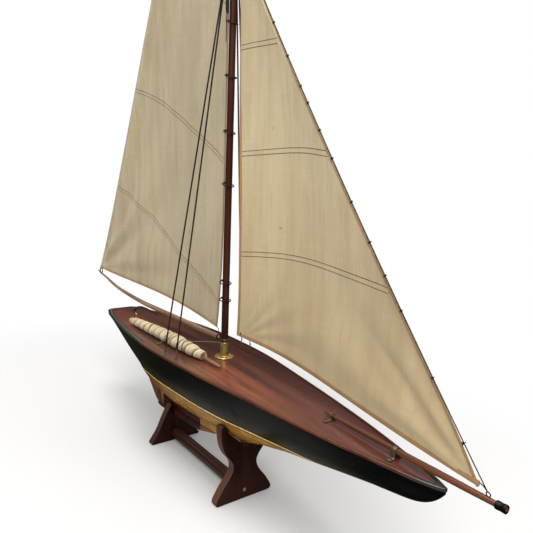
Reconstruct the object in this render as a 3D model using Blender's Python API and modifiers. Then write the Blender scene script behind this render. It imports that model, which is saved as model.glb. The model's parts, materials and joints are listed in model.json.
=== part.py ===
"""Antique-style model sailing yacht on a two-plate wooden cradle.

Units are metres. +X points at the bow, +Y to port, +Z up. The origin is on the
floor, on the hull's centreline, under the middle of the overall length. The
numbers below are measured from the middle of the cradle, and the parent empty
yacht_model carries the whole model from there to the origin.
"""

import math

import bmesh
import bpy
from mathutils import Matrix, Vector

# ---------------------------------------------------------------- shared dimensions
GAP = 0.0003                 # clearance between neighbouring pieces
ORIGIN_X = 0.008935          # the model's origin lies this far forward of the cradle's middle
SIDES = (("port", 1.0), ("starboard", -1.0))

# lines plan: x, half-breadth at the deck, height of the sheer, centreline bottom
LINES = (
    (-0.492, 0.0300, 0.2545, 0.2400),
    (-0.489, 0.0360, 0.2545, 0.2380),
    (-0.480, 0.0425, 0.2548, 0.2340),
    (-0.460, 0.0495, 0.2552, 0.2265),
    (-0.420, 0.0595, 0.2562, 0.2110),
    (-0.360, 0.0715, 0.2577, 0.1870),
    (-0.300, 0.0820, 0.2590, 0.1640),
    (-0.250, 0.0895, 0.2600, 0.1450),
    (-0.200, 0.0955, 0.2609, 0.1280),
    (-0.150, 0.0998, 0.2616, 0.1160),
    (-0.100, 0.1022, 0.2620, 0.1110),
    (-0.050, 0.1026, 0.2622, 0.1115),
    (0.000, 0.1015, 0.2622, 0.1140),
    (0.050, 0.0993, 0.2621, 0.1165),
    (0.100, 0.0953, 0.2617, 0.1198),
    (0.150, 0.0893, 0.2609, 0.1245),
    (0.200, 0.0822, 0.2598, 0.1358),
    (0.250, 0.0750, 0.2585, 0.1478),
    (0.300, 0.0680, 0.2570, 0.1601),
    (0.350, 0.0605, 0.2554, 0.1694),
    (0.400, 0.0525, 0.2537, 0.1796),
    (0.450, 0.0435, 0.2519, 0.1893),
    (0.500, 0.0332, 0.2499, 0.1982),
    (0.550, 0.0220, 0.2477, 0.2062),
    (0.580, 0.0148, 0.2463, 0.2147),
    (0.597, 0.0092, 0.2456, 0.2251),
    (0.607, 0.0048, 0.2452, 0.2349),
    (0.6125, 0.0016, 0.2450, 0.2420),
)
STERN_X, STEM_X = LINES[0][0], LINES[-1][0]
# x, fullness of the sections: lower is rounder
FULLNESS = (
    (-0.492, 0.50), (-0.300, 0.46), (-0.200, 0.49), (-0.100, 0.51), (0.0, 0.53), (0.100, 0.54),
    (0.200, 0.56), (0.300, 0.60), (0.400, 0.64), (0.500, 0.64), (0.6125, 0.55),
)
# x, how far the sections are hollowed beside the keel
HOLLOW = (
    (-0.300, 0.0), (-0.200, 0.20), (-0.100, 0.35), (0.0, 0.50), (0.200, 0.50), (0.300, 0.30),
    (0.420, 0.0),
)
# x, z of the bottom of the long keel
KEEL = (
    (-0.1960, 0.0618), (-0.1500, 0.0637), (-0.1000, 0.0664), (-0.0200, 0.0745), (0.0500, 0.0938),
    (0.1000, 0.1068), (0.1500, 0.1180), (0.2000, 0.1345), (0.2150, 0.1390),
)
KEEL_AFT, KEEL_FORE = -0.1955, 0.2050
KEEL_HALF, KEEL_NOSE_HALF = 0.0082, 0.0020   # half thickness of the keel, and at its fore end
KEEL_TAPER = 0.15                            # length over which it thins to the fore end

DECK_T = 0.0040
DECK_CAMBER = 0.0060         # crown of the deck where the beam is 0.2 m

RUDDER_HEAD = Vector((-0.3860, 0.0, 0.2660))
RUDDER_HEEL = Vector((-0.2045, 0.0, 0.0640))
STOCK_DOWN = (RUDDER_HEEL - RUDDER_HEAD).normalized()
STOCK_FORE = Vector((-STOCK_DOWN.z, 0, STOCK_DOWN.x))    # square to the stock, forward and up
STOCK_R, TRUNK_R, TRUNK_BORE = 0.0028, 0.0050, 0.0034

MAST_X, MAST_TOP = 0.070, 1.710
MAST_PLACE = Matrix.Translation((MAST_X, 0, 0))
BOOM_Z = 0.3095
STAY_LOW = Vector((0.6685, 0.0, 0.2745))
STAY_HIGH = Vector((0.0835, 0.0, 1.0800))

# ---------------------------------------------------------------- scene
for old in list(bpy.data.objects):
    bpy.data.objects.remove(old, do_unlink=True)

parts = bpy.data.collections.new("model_sailing_yacht")
cutters = bpy.data.collections.new("cutters")
for group in (parts, cutters):
    bpy.context.scene.collection.children.link(group)


def material(name, color, roughness, metallic=0.0):
    mat = bpy.data.materials.new(name)
    mat.use_nodes = True
    shader = mat.node_tree.nodes["Principled BSDF"]
    shader.inputs["Base Color"].default_value = (*color, 1.0)
    shader.inputs["Roughness"].default_value = roughness
    shader.inputs["Metallic"].default_value = metallic
    mat.diffuse_color = (*color, 1.0)
    return mat


HULL_PAINT = material("hull_paint", color=(0.02, 0.022, 0.02), roughness=0.25)
DECK_WOOD = material("deck_wood", color=(0.16, 0.055, 0.03), roughness=0.2)
EDGE_WOOD = material("edge_wood", color=(0.27, 0.08, 0.03), roughness=0.3)
MAST_WOOD = material("mast_wood", color=(0.14, 0.03, 0.01), roughness=0.3)
SPAR_WOOD = material("spar_wood", color=(0.40, 0.16, 0.06), roughness=0.4)
RUDDER_WOOD = material("rudder_wood", color=(0.10, 0.035, 0.02), roughness=0.4)
STAND_WOOD = material("stand_wood", color=(0.03, 0.006, 0.003), roughness=0.3)
INNER_WOOD = material("inner_wood", color=(0.45, 0.30, 0.16), roughness=0.7)
BRASS = material("brass", color=(0.70, 0.52, 0.20), roughness=0.3, metallic=1.0)
DARK_IRON = material("dark_iron", color=(0.02, 0.02, 0.02), roughness=0.5, metallic=0.6)
CORD = material("cord", color=(0.015, 0.015, 0.015), roughness=0.8)
CLOTH = material("sailcloth", color=(0.58, 0.47, 0.28), roughness=0.9)
ROLL_CLOTH = material("roll_cloth", color=(0.72, 0.63, 0.42), roughness=0.9)
LEAD = material("lead", color=(0.28, 0.17, 0.05), roughness=0.5)


# ---------------------------------------------------------------- curves through tables
def spline(table, column=1):
    """Natural cubic spline through column 0 and the given column of the rows."""
    xs = [row[0] for row in table]
    ys = [row[column] for row in table]
    count = len(xs)
    gaps = [xs[i + 1] - xs[i] for i in range(count - 1)]
    # tridiagonal system for the second derivatives, which are zero at both ends
    below, diagonal, above, right = [0.0] * count, [1.0] * count, [0.0] * count, [0.0] * count
    for i in range(1, count - 1):
        below[i] = gaps[i - 1]
        diagonal[i] = 2.0 * (gaps[i - 1] + gaps[i])
        above[i] = gaps[i]
        right[i] = 6.0 * ((ys[i + 1] - ys[i]) / gaps[i] - (ys[i] - ys[i - 1]) / gaps[i - 1])
    for i in range(1, count):
        factor = below[i] / diagonal[i - 1]
        diagonal[i] -= factor * above[i - 1]
        right[i] -= factor * right[i - 1]
    bend = [0.0] * count
    for i in range(count - 2, -1, -1):
        bend[i] = (right[i] - above[i] * bend[i + 1]) / diagonal[i]

    def value_at(x):
        x = min(max(x, xs[0]), xs[-1])
        i = 0
        while i < count - 2 and x > xs[i + 1]:
            i += 1
        gap, past, left = gaps[i], x - xs[i], xs[i + 1] - x
        return ((bend[i] * left ** 3 + bend[i + 1] * past ** 3) / (6 * gap)
                + (ys[i] / gap - bend[i] * gap / 6) * left
                + (ys[i + 1] / gap - bend[i + 1] * gap / 6) * past)

    return value_at


def linear(table):
    """Straight lines through (x, value) rows, level beyond both ends."""
    def value_at(x):
        if x <= table[0][0]:
            return table[0][1]
        for (x0, y0), (x1, y1) in zip(table, table[1:]):
            if x <= x1:
                return y0 + (y1 - y0) * (x - x0) / (x1 - x0)
        return table[-1][1]

    return value_at


def smooth_step(share):
    """Eases from 0 to 1 as share goes from 0 to 1, and stays at 1."""
    share = min(1.0, share)
    return share * share * (3 - 2 * share)


def mirrored(half):
    """Closes a port half outline of (y, z) rows with its starboard mirror image."""
    return half + [(-y, z) for y, z in reversed(half)]


def ring_at(x, half):
    """Full section at x from its port half."""
    return [(x, y, z) for y, z in mirrored(half)]


# ---------------------------------------------------------------- solids
def add(name, data, mat=None, collection=parts, matrix=None):
    obj = bpy.data.objects.new(name, data)
    collection.objects.link(obj)
    if mat is not None:
        data.materials.append(mat)
    if matrix is not None:
        obj.matrix_world = matrix
    if collection is cutters:
        obj.hide_render = True
        obj.display_type = "WIRE"
    return obj


def loft(name, rings, mat=None, collection=parts):
    """Closed solid through sections that all hold the same number of points."""
    size = len(rings[0])
    faces = []
    for start in range(0, (len(rings) - 1) * size, size):
        for i in range(size):
            j = (i + 1) % size
            faces.append((start + i, start + j, start + size + j, start + size + i))
    faces.append(tuple(range(size)))
    last = (len(rings) - 1) * size
    faces.append(tuple(last + i for i in reversed(range(size))))
    mesh = bpy.data.meshes.new(name)
    mesh.from_pydata([point for ring in rings for point in ring], [], faces)
    bm = bmesh.new()
    bm.from_mesh(mesh)
    bmesh.ops.recalc_face_normals(bm, faces=bm.faces)
    bm.to_mesh(mesh)
    bm.free()
    mesh.shade_smooth()
    mesh.set_sharp_from_angle(angle=math.radians(40))
    return add(name, mesh, mat, collection)


def poly_curve(name, dimensions, fill_mode, points, cyclic):
    """A curve of straight segments through (x, y, z) points."""
    curve = bpy.data.curves.new(name, "CURVE")
    curve.dimensions = dimensions
    curve.fill_mode = fill_mode
    line = curve.splines.new("POLY")
    line.points.add(len(points) - 1)
    for point, place in zip(line.points, points):
        point.co = (*place, 1.0)
    line.use_cyclic_u = cyclic
    return curve


def rod(name, points, radii, mat, resolution=2, cyclic=False):
    """A round bar, wire or ring along a path, with one radius or one for each point."""
    if not hasattr(radii, "__len__"):
        radii = [radii] * len(points)
    curve = poly_curve(name, "3D", "FULL", points, cyclic)
    curve.bevel_depth = max(radii)
    curve.bevel_resolution = resolution
    curve.use_fill_caps = not cyclic
    for point, radius in zip(curve.splines[0].points, radii):
        point.radius = radius / curve.bevel_depth
    return add(name, curve, mat)


def spar(name, stations, resolution):
    """A tapered wooden spar on the centreline, through (x, z, radius) stations."""
    return rod(name, [(x, 0, z) for x, z, radius in stations],
               [radius for x, z, radius in stations], SPAR_WOOD, resolution)


def wire_ring(name, center, first, second, radius, wire, count, mat=DARK_IRON):
    """A ring of wire in the plane of two unit vectors."""
    angles = [2 * math.pi * k / count for k in range(count)]
    points = [center + (first * math.cos(a) + second * math.sin(a)) * radius for a in angles]
    return rod(name, points, wire, mat, resolution=1, cyclic=True)


# turns of a flat outline so that its thickness runs along the named axis
BOARD_TURNS = {
    "x": Matrix(((0, 0, 1, 0), (1, 0, 0, 0), (0, 1, 0, 0), (0, 0, 0, 1))),
    "y": Matrix(((1, 0, 0, 0), (0, 0, -1, 0), (0, 1, 0, 0), (0, 0, 0, 1))),
    "z": Matrix.Identity(4),
}


def board(name, outline, axis, low, high, mat):
    """A flat outline sawn from a board whose thickness runs along 'x', 'y' or 'z'."""
    curve = poly_curve(name, "2D", "BOTH", [(*point, 0.0) for point in outline], cyclic=True)
    curve.extrude = (high - low) / 2
    curve.splines[0].use_smooth = False
    middle = Vector((0, 0, 0))
    middle["xyz".index(axis)] = (low + high) / 2
    return add(name, curve, mat, matrix=Matrix.Translation(middle) @ BOARD_TURNS[axis])


def as_mesh(obj):
    """Turns a curve into a welded mesh, which can then be cut or rounded."""
    bpy.context.view_layer.update()
    graph = bpy.context.evaluated_depsgraph_get()
    mesh = bpy.data.meshes.new_from_object(obj.evaluated_get(graph))
    bm = bmesh.new()
    bm.from_mesh(mesh)
    bmesh.ops.remove_doubles(bm, verts=bm.verts, dist=0.00001)
    bmesh.ops.recalc_face_normals(bm, faces=bm.faces)
    bm.to_mesh(mesh)
    bm.free()
    name, place = obj.name, obj.matrix_world.copy()
    bpy.data.objects.remove(obj, do_unlink=True)
    return add(name, mesh, matrix=place)


def spin(name, profile, closed, mat, steps, matrix):
    """Revolves (radius, height) rows about Z."""
    rows = list(reversed(profile))
    count = len(rows)
    edges = [(i, (i + 1) % count) for i in range(count if closed else count - 1)]
    mesh = bpy.data.meshes.new(name)
    mesh.from_pydata([(radius, 0, z) for radius, z in rows], edges, [])
    obj = add(name, mesh, mat, matrix=matrix)
    screw = obj.modifiers.new("spin", "SCREW")
    screw.axis = "Z"
    screw.angle = 2 * math.pi
    screw.steps = screw.render_steps = steps
    screw.use_merge_vertices = True
    screw.merge_threshold = 0.00001
    screw.use_smooth_shade = True
    return obj


def turned(name, profile, mat, matrix, steps=16):
    """A solid of revolution, from (radius, height) rows that run from the bottom up."""
    return spin(name, profile, False, mat, steps, matrix)


def tube(name, bore, radius, bottom_z, top_z, mat, matrix, steps=16, flange=None):
    """A straight tube about Z, with an optional flange (radius, thickness) at the bottom."""
    foot = [(radius, bottom_z)]
    if flange:
        flange_r, flange_t = flange
        foot = [(flange_r, bottom_z), (flange_r, bottom_z + flange_t * 0.6),
                (flange_r - 0.0012, bottom_z + flange_t), (radius, bottom_z + flange_t)]
    outline = [(bore, top_z), (bore, bottom_z)] + foot + [(radius, top_z)]
    return spin(name, outline, True, mat, steps, matrix)


def along(start, end):
    """Matrix that carries the Z axis onto the line from start to end."""
    direction = (Vector(end) - Vector(start)).normalized()
    turn = direction.to_track_quat("Z", "Y").to_matrix().to_4x4()
    return Matrix.Translation(start) @ turn


def drill(name, start, end, radius, sides=20, end_radius=None):
    """A cylinder or cone, kept with the cutters, that fills the space from start to end."""
    length = (Vector(end) - Vector(start)).length
    mesh = bpy.data.meshes.new(name)
    bm = bmesh.new()
    bmesh.ops.create_cone(bm, cap_ends=True, segments=sides, radius1=radius,
                          radius2=radius if end_radius is None else end_radius, depth=length)
    bm.to_mesh(mesh)
    bm.free()
    return add(name, mesh, None, cutters,
               along(start, end) @ Matrix.Translation((0, 0, length / 2)))


def boolean(obj, operation, *tools):
    for tool in tools:
        modifier = obj.modifiers.new(tool.name, "BOOLEAN")
        modifier.operation = operation
        modifier.solver = "EXACT"
        modifier.object = tool


def cut(obj, *tools):
    boolean(obj, "DIFFERENCE", *tools)


def round_edges(obj, width):
    bevel = obj.modifiers.new("rounding", "BEVEL")
    bevel.width = width
    bevel.segments = 1
    bevel.limit_method = "ANGLE"
    bevel.angle_limit = math.radians(50)


# ---------------------------------------------------------------- hull lines
half_beam = spline(LINES, 1)
sheer = spline(LINES, 2)
bottom = spline(LINES, 3)
fullness = linear(FULLNESS)
hollow = linear(HOLLOW)
keel_line = linear(KEEL)


def ballast_top(x):
    """The sloping joint between the wooden keel and the lead under it."""
    joint_x, joint_z, slope = -0.195, 0.0790, 0.0745
    return joint_z + (x - joint_x) * slope


def keel_half(x):
    """Half thickness of the long keel, aft of its fore end."""
    blend = min(1.0, (KEEL_FORE - x) / KEEL_TAPER)
    return KEEL_NOSE_HALF + (KEEL_HALF - KEEL_NOSE_HALF) * blend


def camber(x, y):
    """Height of the deck's crown above its edge."""
    beam = half_beam(x)
    crown = DECK_CAMBER * (beam / 0.1) ** 1.5
    return crown * (1.0 - (abs(y) / beam) ** 2)


def deck_top(x, y=0.0):
    return sheer(x) + GAP + DECK_T + camber(x, y)


def section(x, count=9):
    """Port half section of the hull, from the keel's underside to the sheer, as (y, z) rows.

    The first three rows are the keel, and count rows above them are the side.
    """
    beam, sheer_z = half_beam(x), sheer(x)
    keel_z, half = bottom(x) - 0.0006, 0.0012
    if KEEL_AFT <= x <= KEEL_FORE:
        keel_z = min(max(keel_line(x), ballast_top(x)), keel_z)
        half = keel_half(x)
    root_z = bottom(x) + 0.0002
    half = min(half, beam * 0.5)
    root_y = min(half * 1.25, beam * 0.6)
    rows = [(half * 0.8, keel_z),
            (half, keel_z + min(0.0016, 0.3 * (root_z - keel_z))),
            (root_y, root_z)]
    for k in range(1, count + 1):
        share = (k / count) ** 1.55
        z = root_z + (sheer_z - root_z) * share
        hollowed = 1.0 - hollow(x) * math.exp(-share / 0.08)
        rows.append((root_y + (beam - root_y) * share ** fullness(x) * hollowed, z))
    return rows


# ---------------------------------------------------------------- hull and ballast
HULL_STATIONS = (
    STERN_X, -0.489, -0.480, -0.462, -0.435, -0.400, -0.360, -0.320, -0.280, -0.240, -0.2125,
    KEEL_AFT - 0.0004, KEEL_AFT, -0.165, -0.120, -0.080, -0.040, 0.000, 0.030, 0.0525, 0.070,
    0.100, 0.150, KEEL_FORE, 0.250, 0.300, 0.350, 0.400, 0.450, 0.490, 0.525, 0.555, 0.577,
    0.592, 0.603, 0.609, STEM_X,
)
CAVITY_STATIONS = (
    -0.455, -0.40, -0.34, -0.28, -0.22, -0.16, -0.10, -0.04, 0.02, 0.08, 0.14, 0.20, 0.26, 0.32,
    0.38, 0.43, 0.48, 0.52,
)
BALLAST_NOSE = 0.0520
BALLAST_STATIONS = (
    KEEL_AFT + 0.0004, -0.165, -0.120, -0.080, -0.040, 0.000, 0.030, 0.045, BALLAST_NOSE,
)
SHELL = 0.0068               # hull wall
CAVITY_FLOOR = 0.0125        # height of the cavity's floor above the hull's centreline bottom
CAVITY_FLOOR_HALF = 0.0035
KEEL_BOLTS = (("fore", -0.060), ("aft", -0.160))
BOLT_R = 0.0019


def cavity_ring(x):
    beam = half_beam(x) - SHELL
    floor_z, sheer_z = bottom(x) + CAVITY_FLOOR, sheer(x)
    power = max(0.50, fullness(x))
    rows = [(CAVITY_FLOOR_HALF, floor_z)]
    for k in range(1, 7):
        share = (k / 6) ** 1.5
        rows.append((CAVITY_FLOOR_HALF + (beam - CAVITY_FLOOR_HALF) * share ** power,
                     floor_z + (sheer_z - floor_z) * share))
    rows.append((beam, sheer_z + 0.03))
    return ring_at(x, rows)


def build_hull(bolt_holes):
    hull = loft("hull_shell", [ring_at(x, section(x)) for x in HULL_STATIONS], HULL_PAINT)
    cavity = loft("hull_cavity", [cavity_ring(x) for x in CAVITY_STATIONS], None, cutters)
    trunk_hole = drill("trunk_hole", RUDDER_HEAD - STOCK_DOWN * 0.03,
                       RUDDER_HEAD + STOCK_DOWN * 0.165, TRUNK_R + GAP)
    cut(hull, cavity, trunk_hole, *bolt_holes)


def ballast_ring(x):
    low, high, half = keel_line(x), ballast_top(x) - GAP, keel_half(x)
    if x == BALLAST_NOSE:
        low += 0.0006
        half *= 0.6
    rounding = min(0.0030, (high - low) * 0.5)
    return ring_at(x, [(half * 0.55, low), (half * 0.88, low + rounding * 0.35),
                       (half, low + rounding), (half, high)])


def build_ballast(bolt_holes):
    """Lead under the after part of the long keel."""
    ballast = loft("lead_keel", [ballast_ring(x) for x in BALLAST_STATIONS], LEAD)
    cut(ballast, *bolt_holes)


def build_keel_bolts():
    for tag, x in KEEL_BOLTS:
        low = keel_line(x) + 0.0030
        high = bottom(x) + 0.0200
        profile = [(0, low), (BOLT_R, low), (BOLT_R, high - 0.0004), (0.0015, high), (0, high)]
        turned("keel_bolt_" + tag, profile, BRASS, Matrix.Translation((x, 0, 0)), steps=12)


# ---------------------------------------------------------------- sternpost and shoe
POST_HALF_T = 0.0060
POST_STOCK_GAP = STOCK_R + 0.0016     # from the stock's axis to the sternpost
POST_SINK = 0.0012                    # the sternpost's top lies this far below the bottom line
POST_X = KEEL_AFT - 0.0009
SHOE_TOP = 0.0658
SHOE_HALF_T = 0.0042


def build_sternpost():
    """Mahogany post that fills the after deadwood, in front of the rudder stock."""
    outline = [(POST_X, SHOE_TOP + GAP), (POST_X, bottom(-0.197) - POST_SINK)]
    outline += [(x, bottom(x) - POST_SINK) for x in (-0.215, -0.230, -0.245, -0.262)]
    foot = RUDDER_HEEL + STOCK_FORE * POST_STOCK_GAP
    for distance in (0.105, 0.070, 0.035, (SHOE_TOP + GAP - foot.z) / -STOCK_DOWN.z):
        point = foot - STOCK_DOWN * distance
        outline.append((point.x, point.z))
    post = as_mesh(board("sternpost", outline, "y", -POST_HALF_T, POST_HALF_T, RUDDER_WOOD))
    round_edges(post, 0.0008)


def build_rudder_shoe():
    """The metal heel that carries the foot of the rudder stock."""
    outline = [(POST_X, SHOE_TOP - 0.0042), (-0.2340, SHOE_TOP - 0.0030),
               (-0.2375, SHOE_TOP - 0.0012), (-0.2360, SHOE_TOP), (POST_X, SHOE_TOP)]
    shoe = as_mesh(board("rudder_shoe", outline, "y", -SHOE_HALF_T, SHOE_HALF_T, LEAD))
    cut(shoe, drill("shoe_hole", RUDDER_HEEL - STOCK_DOWN * 0.02,
                    RUDDER_HEEL + STOCK_DOWN * 0.02, STOCK_R + GAP, 16))


# ---------------------------------------------------------------- deck and gunwale
GUNWALE_H, GUNWALE_W = 0.0056, 0.0046
GUNWALE_OVERHANG = 0.0008
DECK_STATIONS = (
    -0.4872, -0.480, -0.465, -0.440, -0.400, -0.340, -0.280, -0.200, -0.120, -0.040, 0.040,
    0.120, 0.200, 0.280, 0.360, 0.430, 0.490, 0.535, 0.565, 0.585, 0.5945,
)
RAIL_STATIONS = (
    STERN_X - 0.0005, -0.489, -0.480, -0.462, -0.435, -0.400, -0.340, -0.280, -0.200, -0.120,
    -0.040, 0.040, 0.120, 0.200, 0.280, 0.360, 0.430, 0.490, 0.535, 0.565, 0.585, 0.600, 0.608,
    STEM_X + 0.0008,
)
RAIL_CUT_STATIONS = (-0.4875,) + DECK_STATIONS[1:-1] + (0.5955,)
DECK_STRIPS = 8              # strips across the deck that follow the camber
FLANGE_SCREW_Y = 0.0145
DECK_BEAMS = (("aft", -0.150), ("mid", 0.140), ("fore", 0.330))
STEP_Z, STEP_H = bottom(MAST_X) + 0.0215, 0.0170
STEP_HALF_LENGTH, STEP_HALF_WIDTH = 0.022, 0.012


def flange_screw_drills(prefix):
    """Holes for the two screws beside the mast."""
    return [drill(prefix + side, (MAST_X, sign * FLANGE_SCREW_Y, 0.255),
                  (MAST_X, sign * FLANGE_SCREW_Y, 0.300), 0.0016, 10) for side, sign in SIDES]


def deck_ring(x):
    half, low = half_beam(x) - GUNWALE_W - GAP, sheer(x) + GAP
    high = low + DECK_T
    above = [half * (1 - 2 * k / DECK_STRIPS) for k in range(DECK_STRIPS + 1)]
    below = [half * (2 * k / DECK_STRIPS - 1) for k in range(DECK_STRIPS + 1)]
    return ([(x, y, high + camber(x, y)) for y in above]
            + [(x, y, low + camber(x, y)) for y in below])


def build_deck():
    deck = loft("deck", [deck_ring(x) for x in DECK_STATIONS], DECK_WOOD)
    mast_hole = drill("mast_hole", (MAST_X, 0, 0.235), (MAST_X, 0, 0.300), 0.0088, 24)
    trunk_hole = drill("deck_trunk_hole", RUDDER_HEAD - STOCK_DOWN * 0.03,
                       RUDDER_HEAD + STOCK_DOWN * 0.04, TRUNK_R + GAP)
    cut(deck, mast_hole, trunk_hole, *flange_screw_drills("screw_hole_"))


def rail_ring(x):
    beam = half_beam(x) + GUNWALE_OVERHANG
    low, high = sheer(x) + GAP, sheer(x) + GUNWALE_H
    rounding = min(0.0010, beam * 0.3)
    return ring_at(x, [(beam, low), (beam, high - rounding), (beam - rounding, high)])


def rail_cut_ring(x):
    half = half_beam(x) - GUNWALE_W
    return ring_at(x, [(half, sheer(x) - 0.01), (half, sheer(x) + 0.02)])


def build_gunwale():
    rail = loft("gunwale_moulding", [rail_ring(x) for x in RAIL_STATIONS], EDGE_WOOD)
    cut(rail, loft("rail_cutter", [rail_cut_ring(x) for x in RAIL_CUT_STATIONS], None, cutters))


def build_deck_beams():
    half_thick, depth, slant = 0.005, 0.009, 0.004
    for tag, x in DECK_BEAMS:
        half = half_beam(x) - SHELL - 0.0016
        z = sheer(x) - 0.0002
        outline = [(half, z), (-half, z), (-half + slant, z - depth), (half - slant, z - depth)]
        board("deck_beam_" + tag, outline, "x", x - half_thick, x + half_thick, INNER_WOOD)


def build_mast_step():
    aft, fore = MAST_X - STEP_HALF_LENGTH, MAST_X + STEP_HALF_LENGTH
    outline = [(aft, -STEP_HALF_WIDTH), (fore, -STEP_HALF_WIDTH),
               (fore, STEP_HALF_WIDTH), (aft, STEP_HALF_WIDTH)]
    step = as_mesh(board("mast_step", outline, "z", STEP_Z, STEP_Z + STEP_H, INNER_WOOD))
    cut(step, drill("step_hole", (MAST_X, 0, STEP_Z + 0.006), (MAST_X, 0, STEP_Z + 0.040),
                    0.0078))


# ---------------------------------------------------------------- mast and its metalwork
# z, radius of the mast
mast_radius = linear(((0.0, 0.0074), (0.40, 0.0073), (0.97, 0.0069), (1.25, 0.0060),
                      (MAST_TOP, 0.0040)))
MAST_FOOT_Z = STEP_Z + 0.0063
FLANGE_Z = deck_top(MAST_X) + 0.0004
FLANGE_R, FLANGE_T = 0.0200, 0.0024
HOUNDS_Z = 1.060
# tag, x, half-breadth of the starboard shroud hooks
SHROUDS = (("aft", -0.018, 0.0925), ("fore", 0.023, 0.0875))
PORT_SHROUD_SHIFT = 0.014    # the port pair is set this much further forward


def build_mast():
    heights = (MAST_FOOT_Z, 0.30, 0.50, 0.80, 1.00, 1.20, 1.40, MAST_TOP)
    profile = [(0, MAST_FOOT_Z)] + [(mast_radius(z), z) for z in heights] + [(0, MAST_TOP)]
    turned("mast", profile, MAST_WOOD, MAST_PLACE)


def build_mast_tube():
    """Flanged tube round the mast on the deck."""
    mast_tube = tube("mast_tube", 0.0077, 0.0084, FLANGE_Z, 0.3045, BRASS, MAST_PLACE,
                     steps=24, flange=(FLANGE_R, FLANGE_T))
    cut(mast_tube, *flange_screw_drills("flange_hole_"))


def build_flange_screws():
    z = FLANGE_Z + FLANGE_T + GAP
    profile = [(0, z - 0.011), (0.0012, z - 0.010), (0.0012, z), (0.0029, z),
               (0.0026, z + 0.0009), (0, z + 0.0013)]
    for side, sign in SIDES:
        turned("flange_screw_" + side, profile, BRASS,
               Matrix.Translation((MAST_X, sign * FLANGE_SCREW_Y, 0)), steps=10)


def build_hounds_band():
    tube("hounds_band", mast_radius(HOUNDS_Z) + GAP, 0.0088, HOUNDS_Z - 0.006,
         HOUNDS_Z + 0.024, DARK_IRON, MAST_PLACE)


def build_mast_truck():
    """The turned cap on the masthead."""
    profile = [(0, MAST_TOP + GAP), (0.0066, MAST_TOP + GAP), (0.0070, MAST_TOP + 0.003),
               (0.0050, MAST_TOP + 0.0065), (0, MAST_TOP + 0.0075)]
    turned("mast_truck", profile, MAST_WOOD, MAST_PLACE)


def raised(height):
    return Vector((0, 0, height))


def build_shroud(tag, x, y):
    """One shroud and the hook that holds it to the deck."""
    base = Vector((x, y, deck_top(x, y) + 0.0005))
    outward = Vector((x - MAST_X, y, 0)).normalized()
    top = Vector((MAST_X, 0, HOUNDS_Z)) + outward * 0.0103
    upward = (top - (base + raised(0.012))).normalized()
    hook_top = base + raised(0.0075) + upward * 0.0150
    rod("shroud_" + tag, [hook_top + upward * 0.0010, (hook_top + top) / 2, top], 0.00125, CORD,
        resolution=1)
    lean = Vector((0.0022, 0, 0))
    hook = ((base, 0.0030),
            (base + raised(0.0012), 0.0030),
            (base + raised(0.0016), 0.0012),
            (base + raised(0.0050), 0.0010),
            (base + lean + raised(0.0085), 0.0010),
            (base + lean * 0.6 + upward * 0.0120 + raised(0.003), 0.0014),
            (hook_top - upward * 0.0015, 0.0014),
            (hook_top, 0.0010))
    points, radii = zip(*hook)
    rod("shroud_hook_" + tag, points, radii, DARK_IRON)


def build_shrouds():
    for side, sign in SIDES:
        shift = PORT_SHROUD_SHIFT if side == "port" else 0.0
        for tag, x, half_breadth in SHROUDS:
            build_shroud(tag + "_" + side, x + shift, sign * half_breadth)


# ---------------------------------------------------------------- bowsprit
# x, z, radius
BOWSPRIT = (
    (0.3800, 0.2680, 0.0021), (0.4100, 0.2675, 0.0033), (0.4600, 0.2668, 0.0041),
    (0.5300, 0.2658, 0.0045), (0.6000, 0.2652, 0.0047), (0.6500, 0.2650, 0.0043),
    (0.6930, 0.2648, 0.0036),
)
bowsprit_z = linear([(x, z) for x, z, radius in BOWSPRIT])
bowsprit_radius = linear([(x, radius) for x, z, radius in BOWSPRIT])
STRAP_T = 0.0011


def half_circle(radius, z):
    angles = [math.pi * k / 8 for k in range(9)]
    return [(radius * math.cos(a), z + radius * math.sin(a)) for a in angles]


def bowsprit_strap(name, x, foot, width):
    """A brass strap bent over the bowsprit, with a flat foot each side that ends at y = foot."""
    bore = bowsprit_radius(x) + 0.0004
    outer = bore + STRAP_T
    center_z = bowsprit_z(x)
    low = max(deck_top(x - width / 2), deck_top(x + width / 2)) + GAP
    high = low + STRAP_T
    inside = [(bore, low)] + half_circle(bore, center_z) + [(-bore, low)]
    outline = ([(foot, low), (foot, high), (outer, high)] + half_circle(outer, center_z)
               + [(-outer, high), (-foot, high), (-foot, low)] + list(reversed(inside)))
    board(name, outline, "x", x - width / 2, x + width / 2, BRASS)


def build_bowsprit():
    spar("bowsprit", BOWSPRIT, resolution=4)
    bowsprit_strap("bowsprit_saddle", x=0.397, foot=0.0175, width=0.0075)
    bowsprit_strap("gammon_band", x=0.5270, foot=0.0165, width=0.0085)
    tube("bowsprit_cap", 0.0041, 0.0056, 0.0, 0.0140, DARK_IRON,
         along((0.6810, 0, 0.26485), (0.6970, 0, 0.26478)))


# ---------------------------------------------------------------- rudder, stock and tiller
STOCK_TOP = RUDDER_HEAD - STOCK_DOWN * 0.0060
STOCK_BOTTOM = RUDDER_HEEL + STOCK_DOWN * 0.0020
# x, z of the blade's edge, from its heel round the after end towards the stock
BLADE_EDGE = (
    (-0.2360, SHOE_TOP + 0.0011), (-0.2480, 0.0718), (-0.2700, 0.0895), (-0.2900, 0.1070),
    (-0.3060, 0.1220), (-0.3220, 0.1360), (-0.3330, 0.1460), (-0.3380, 0.1520),
    (-0.3350, 0.1560), (-0.3150, 0.1545),
)
BLADE_HALF_T = 0.0030
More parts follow.
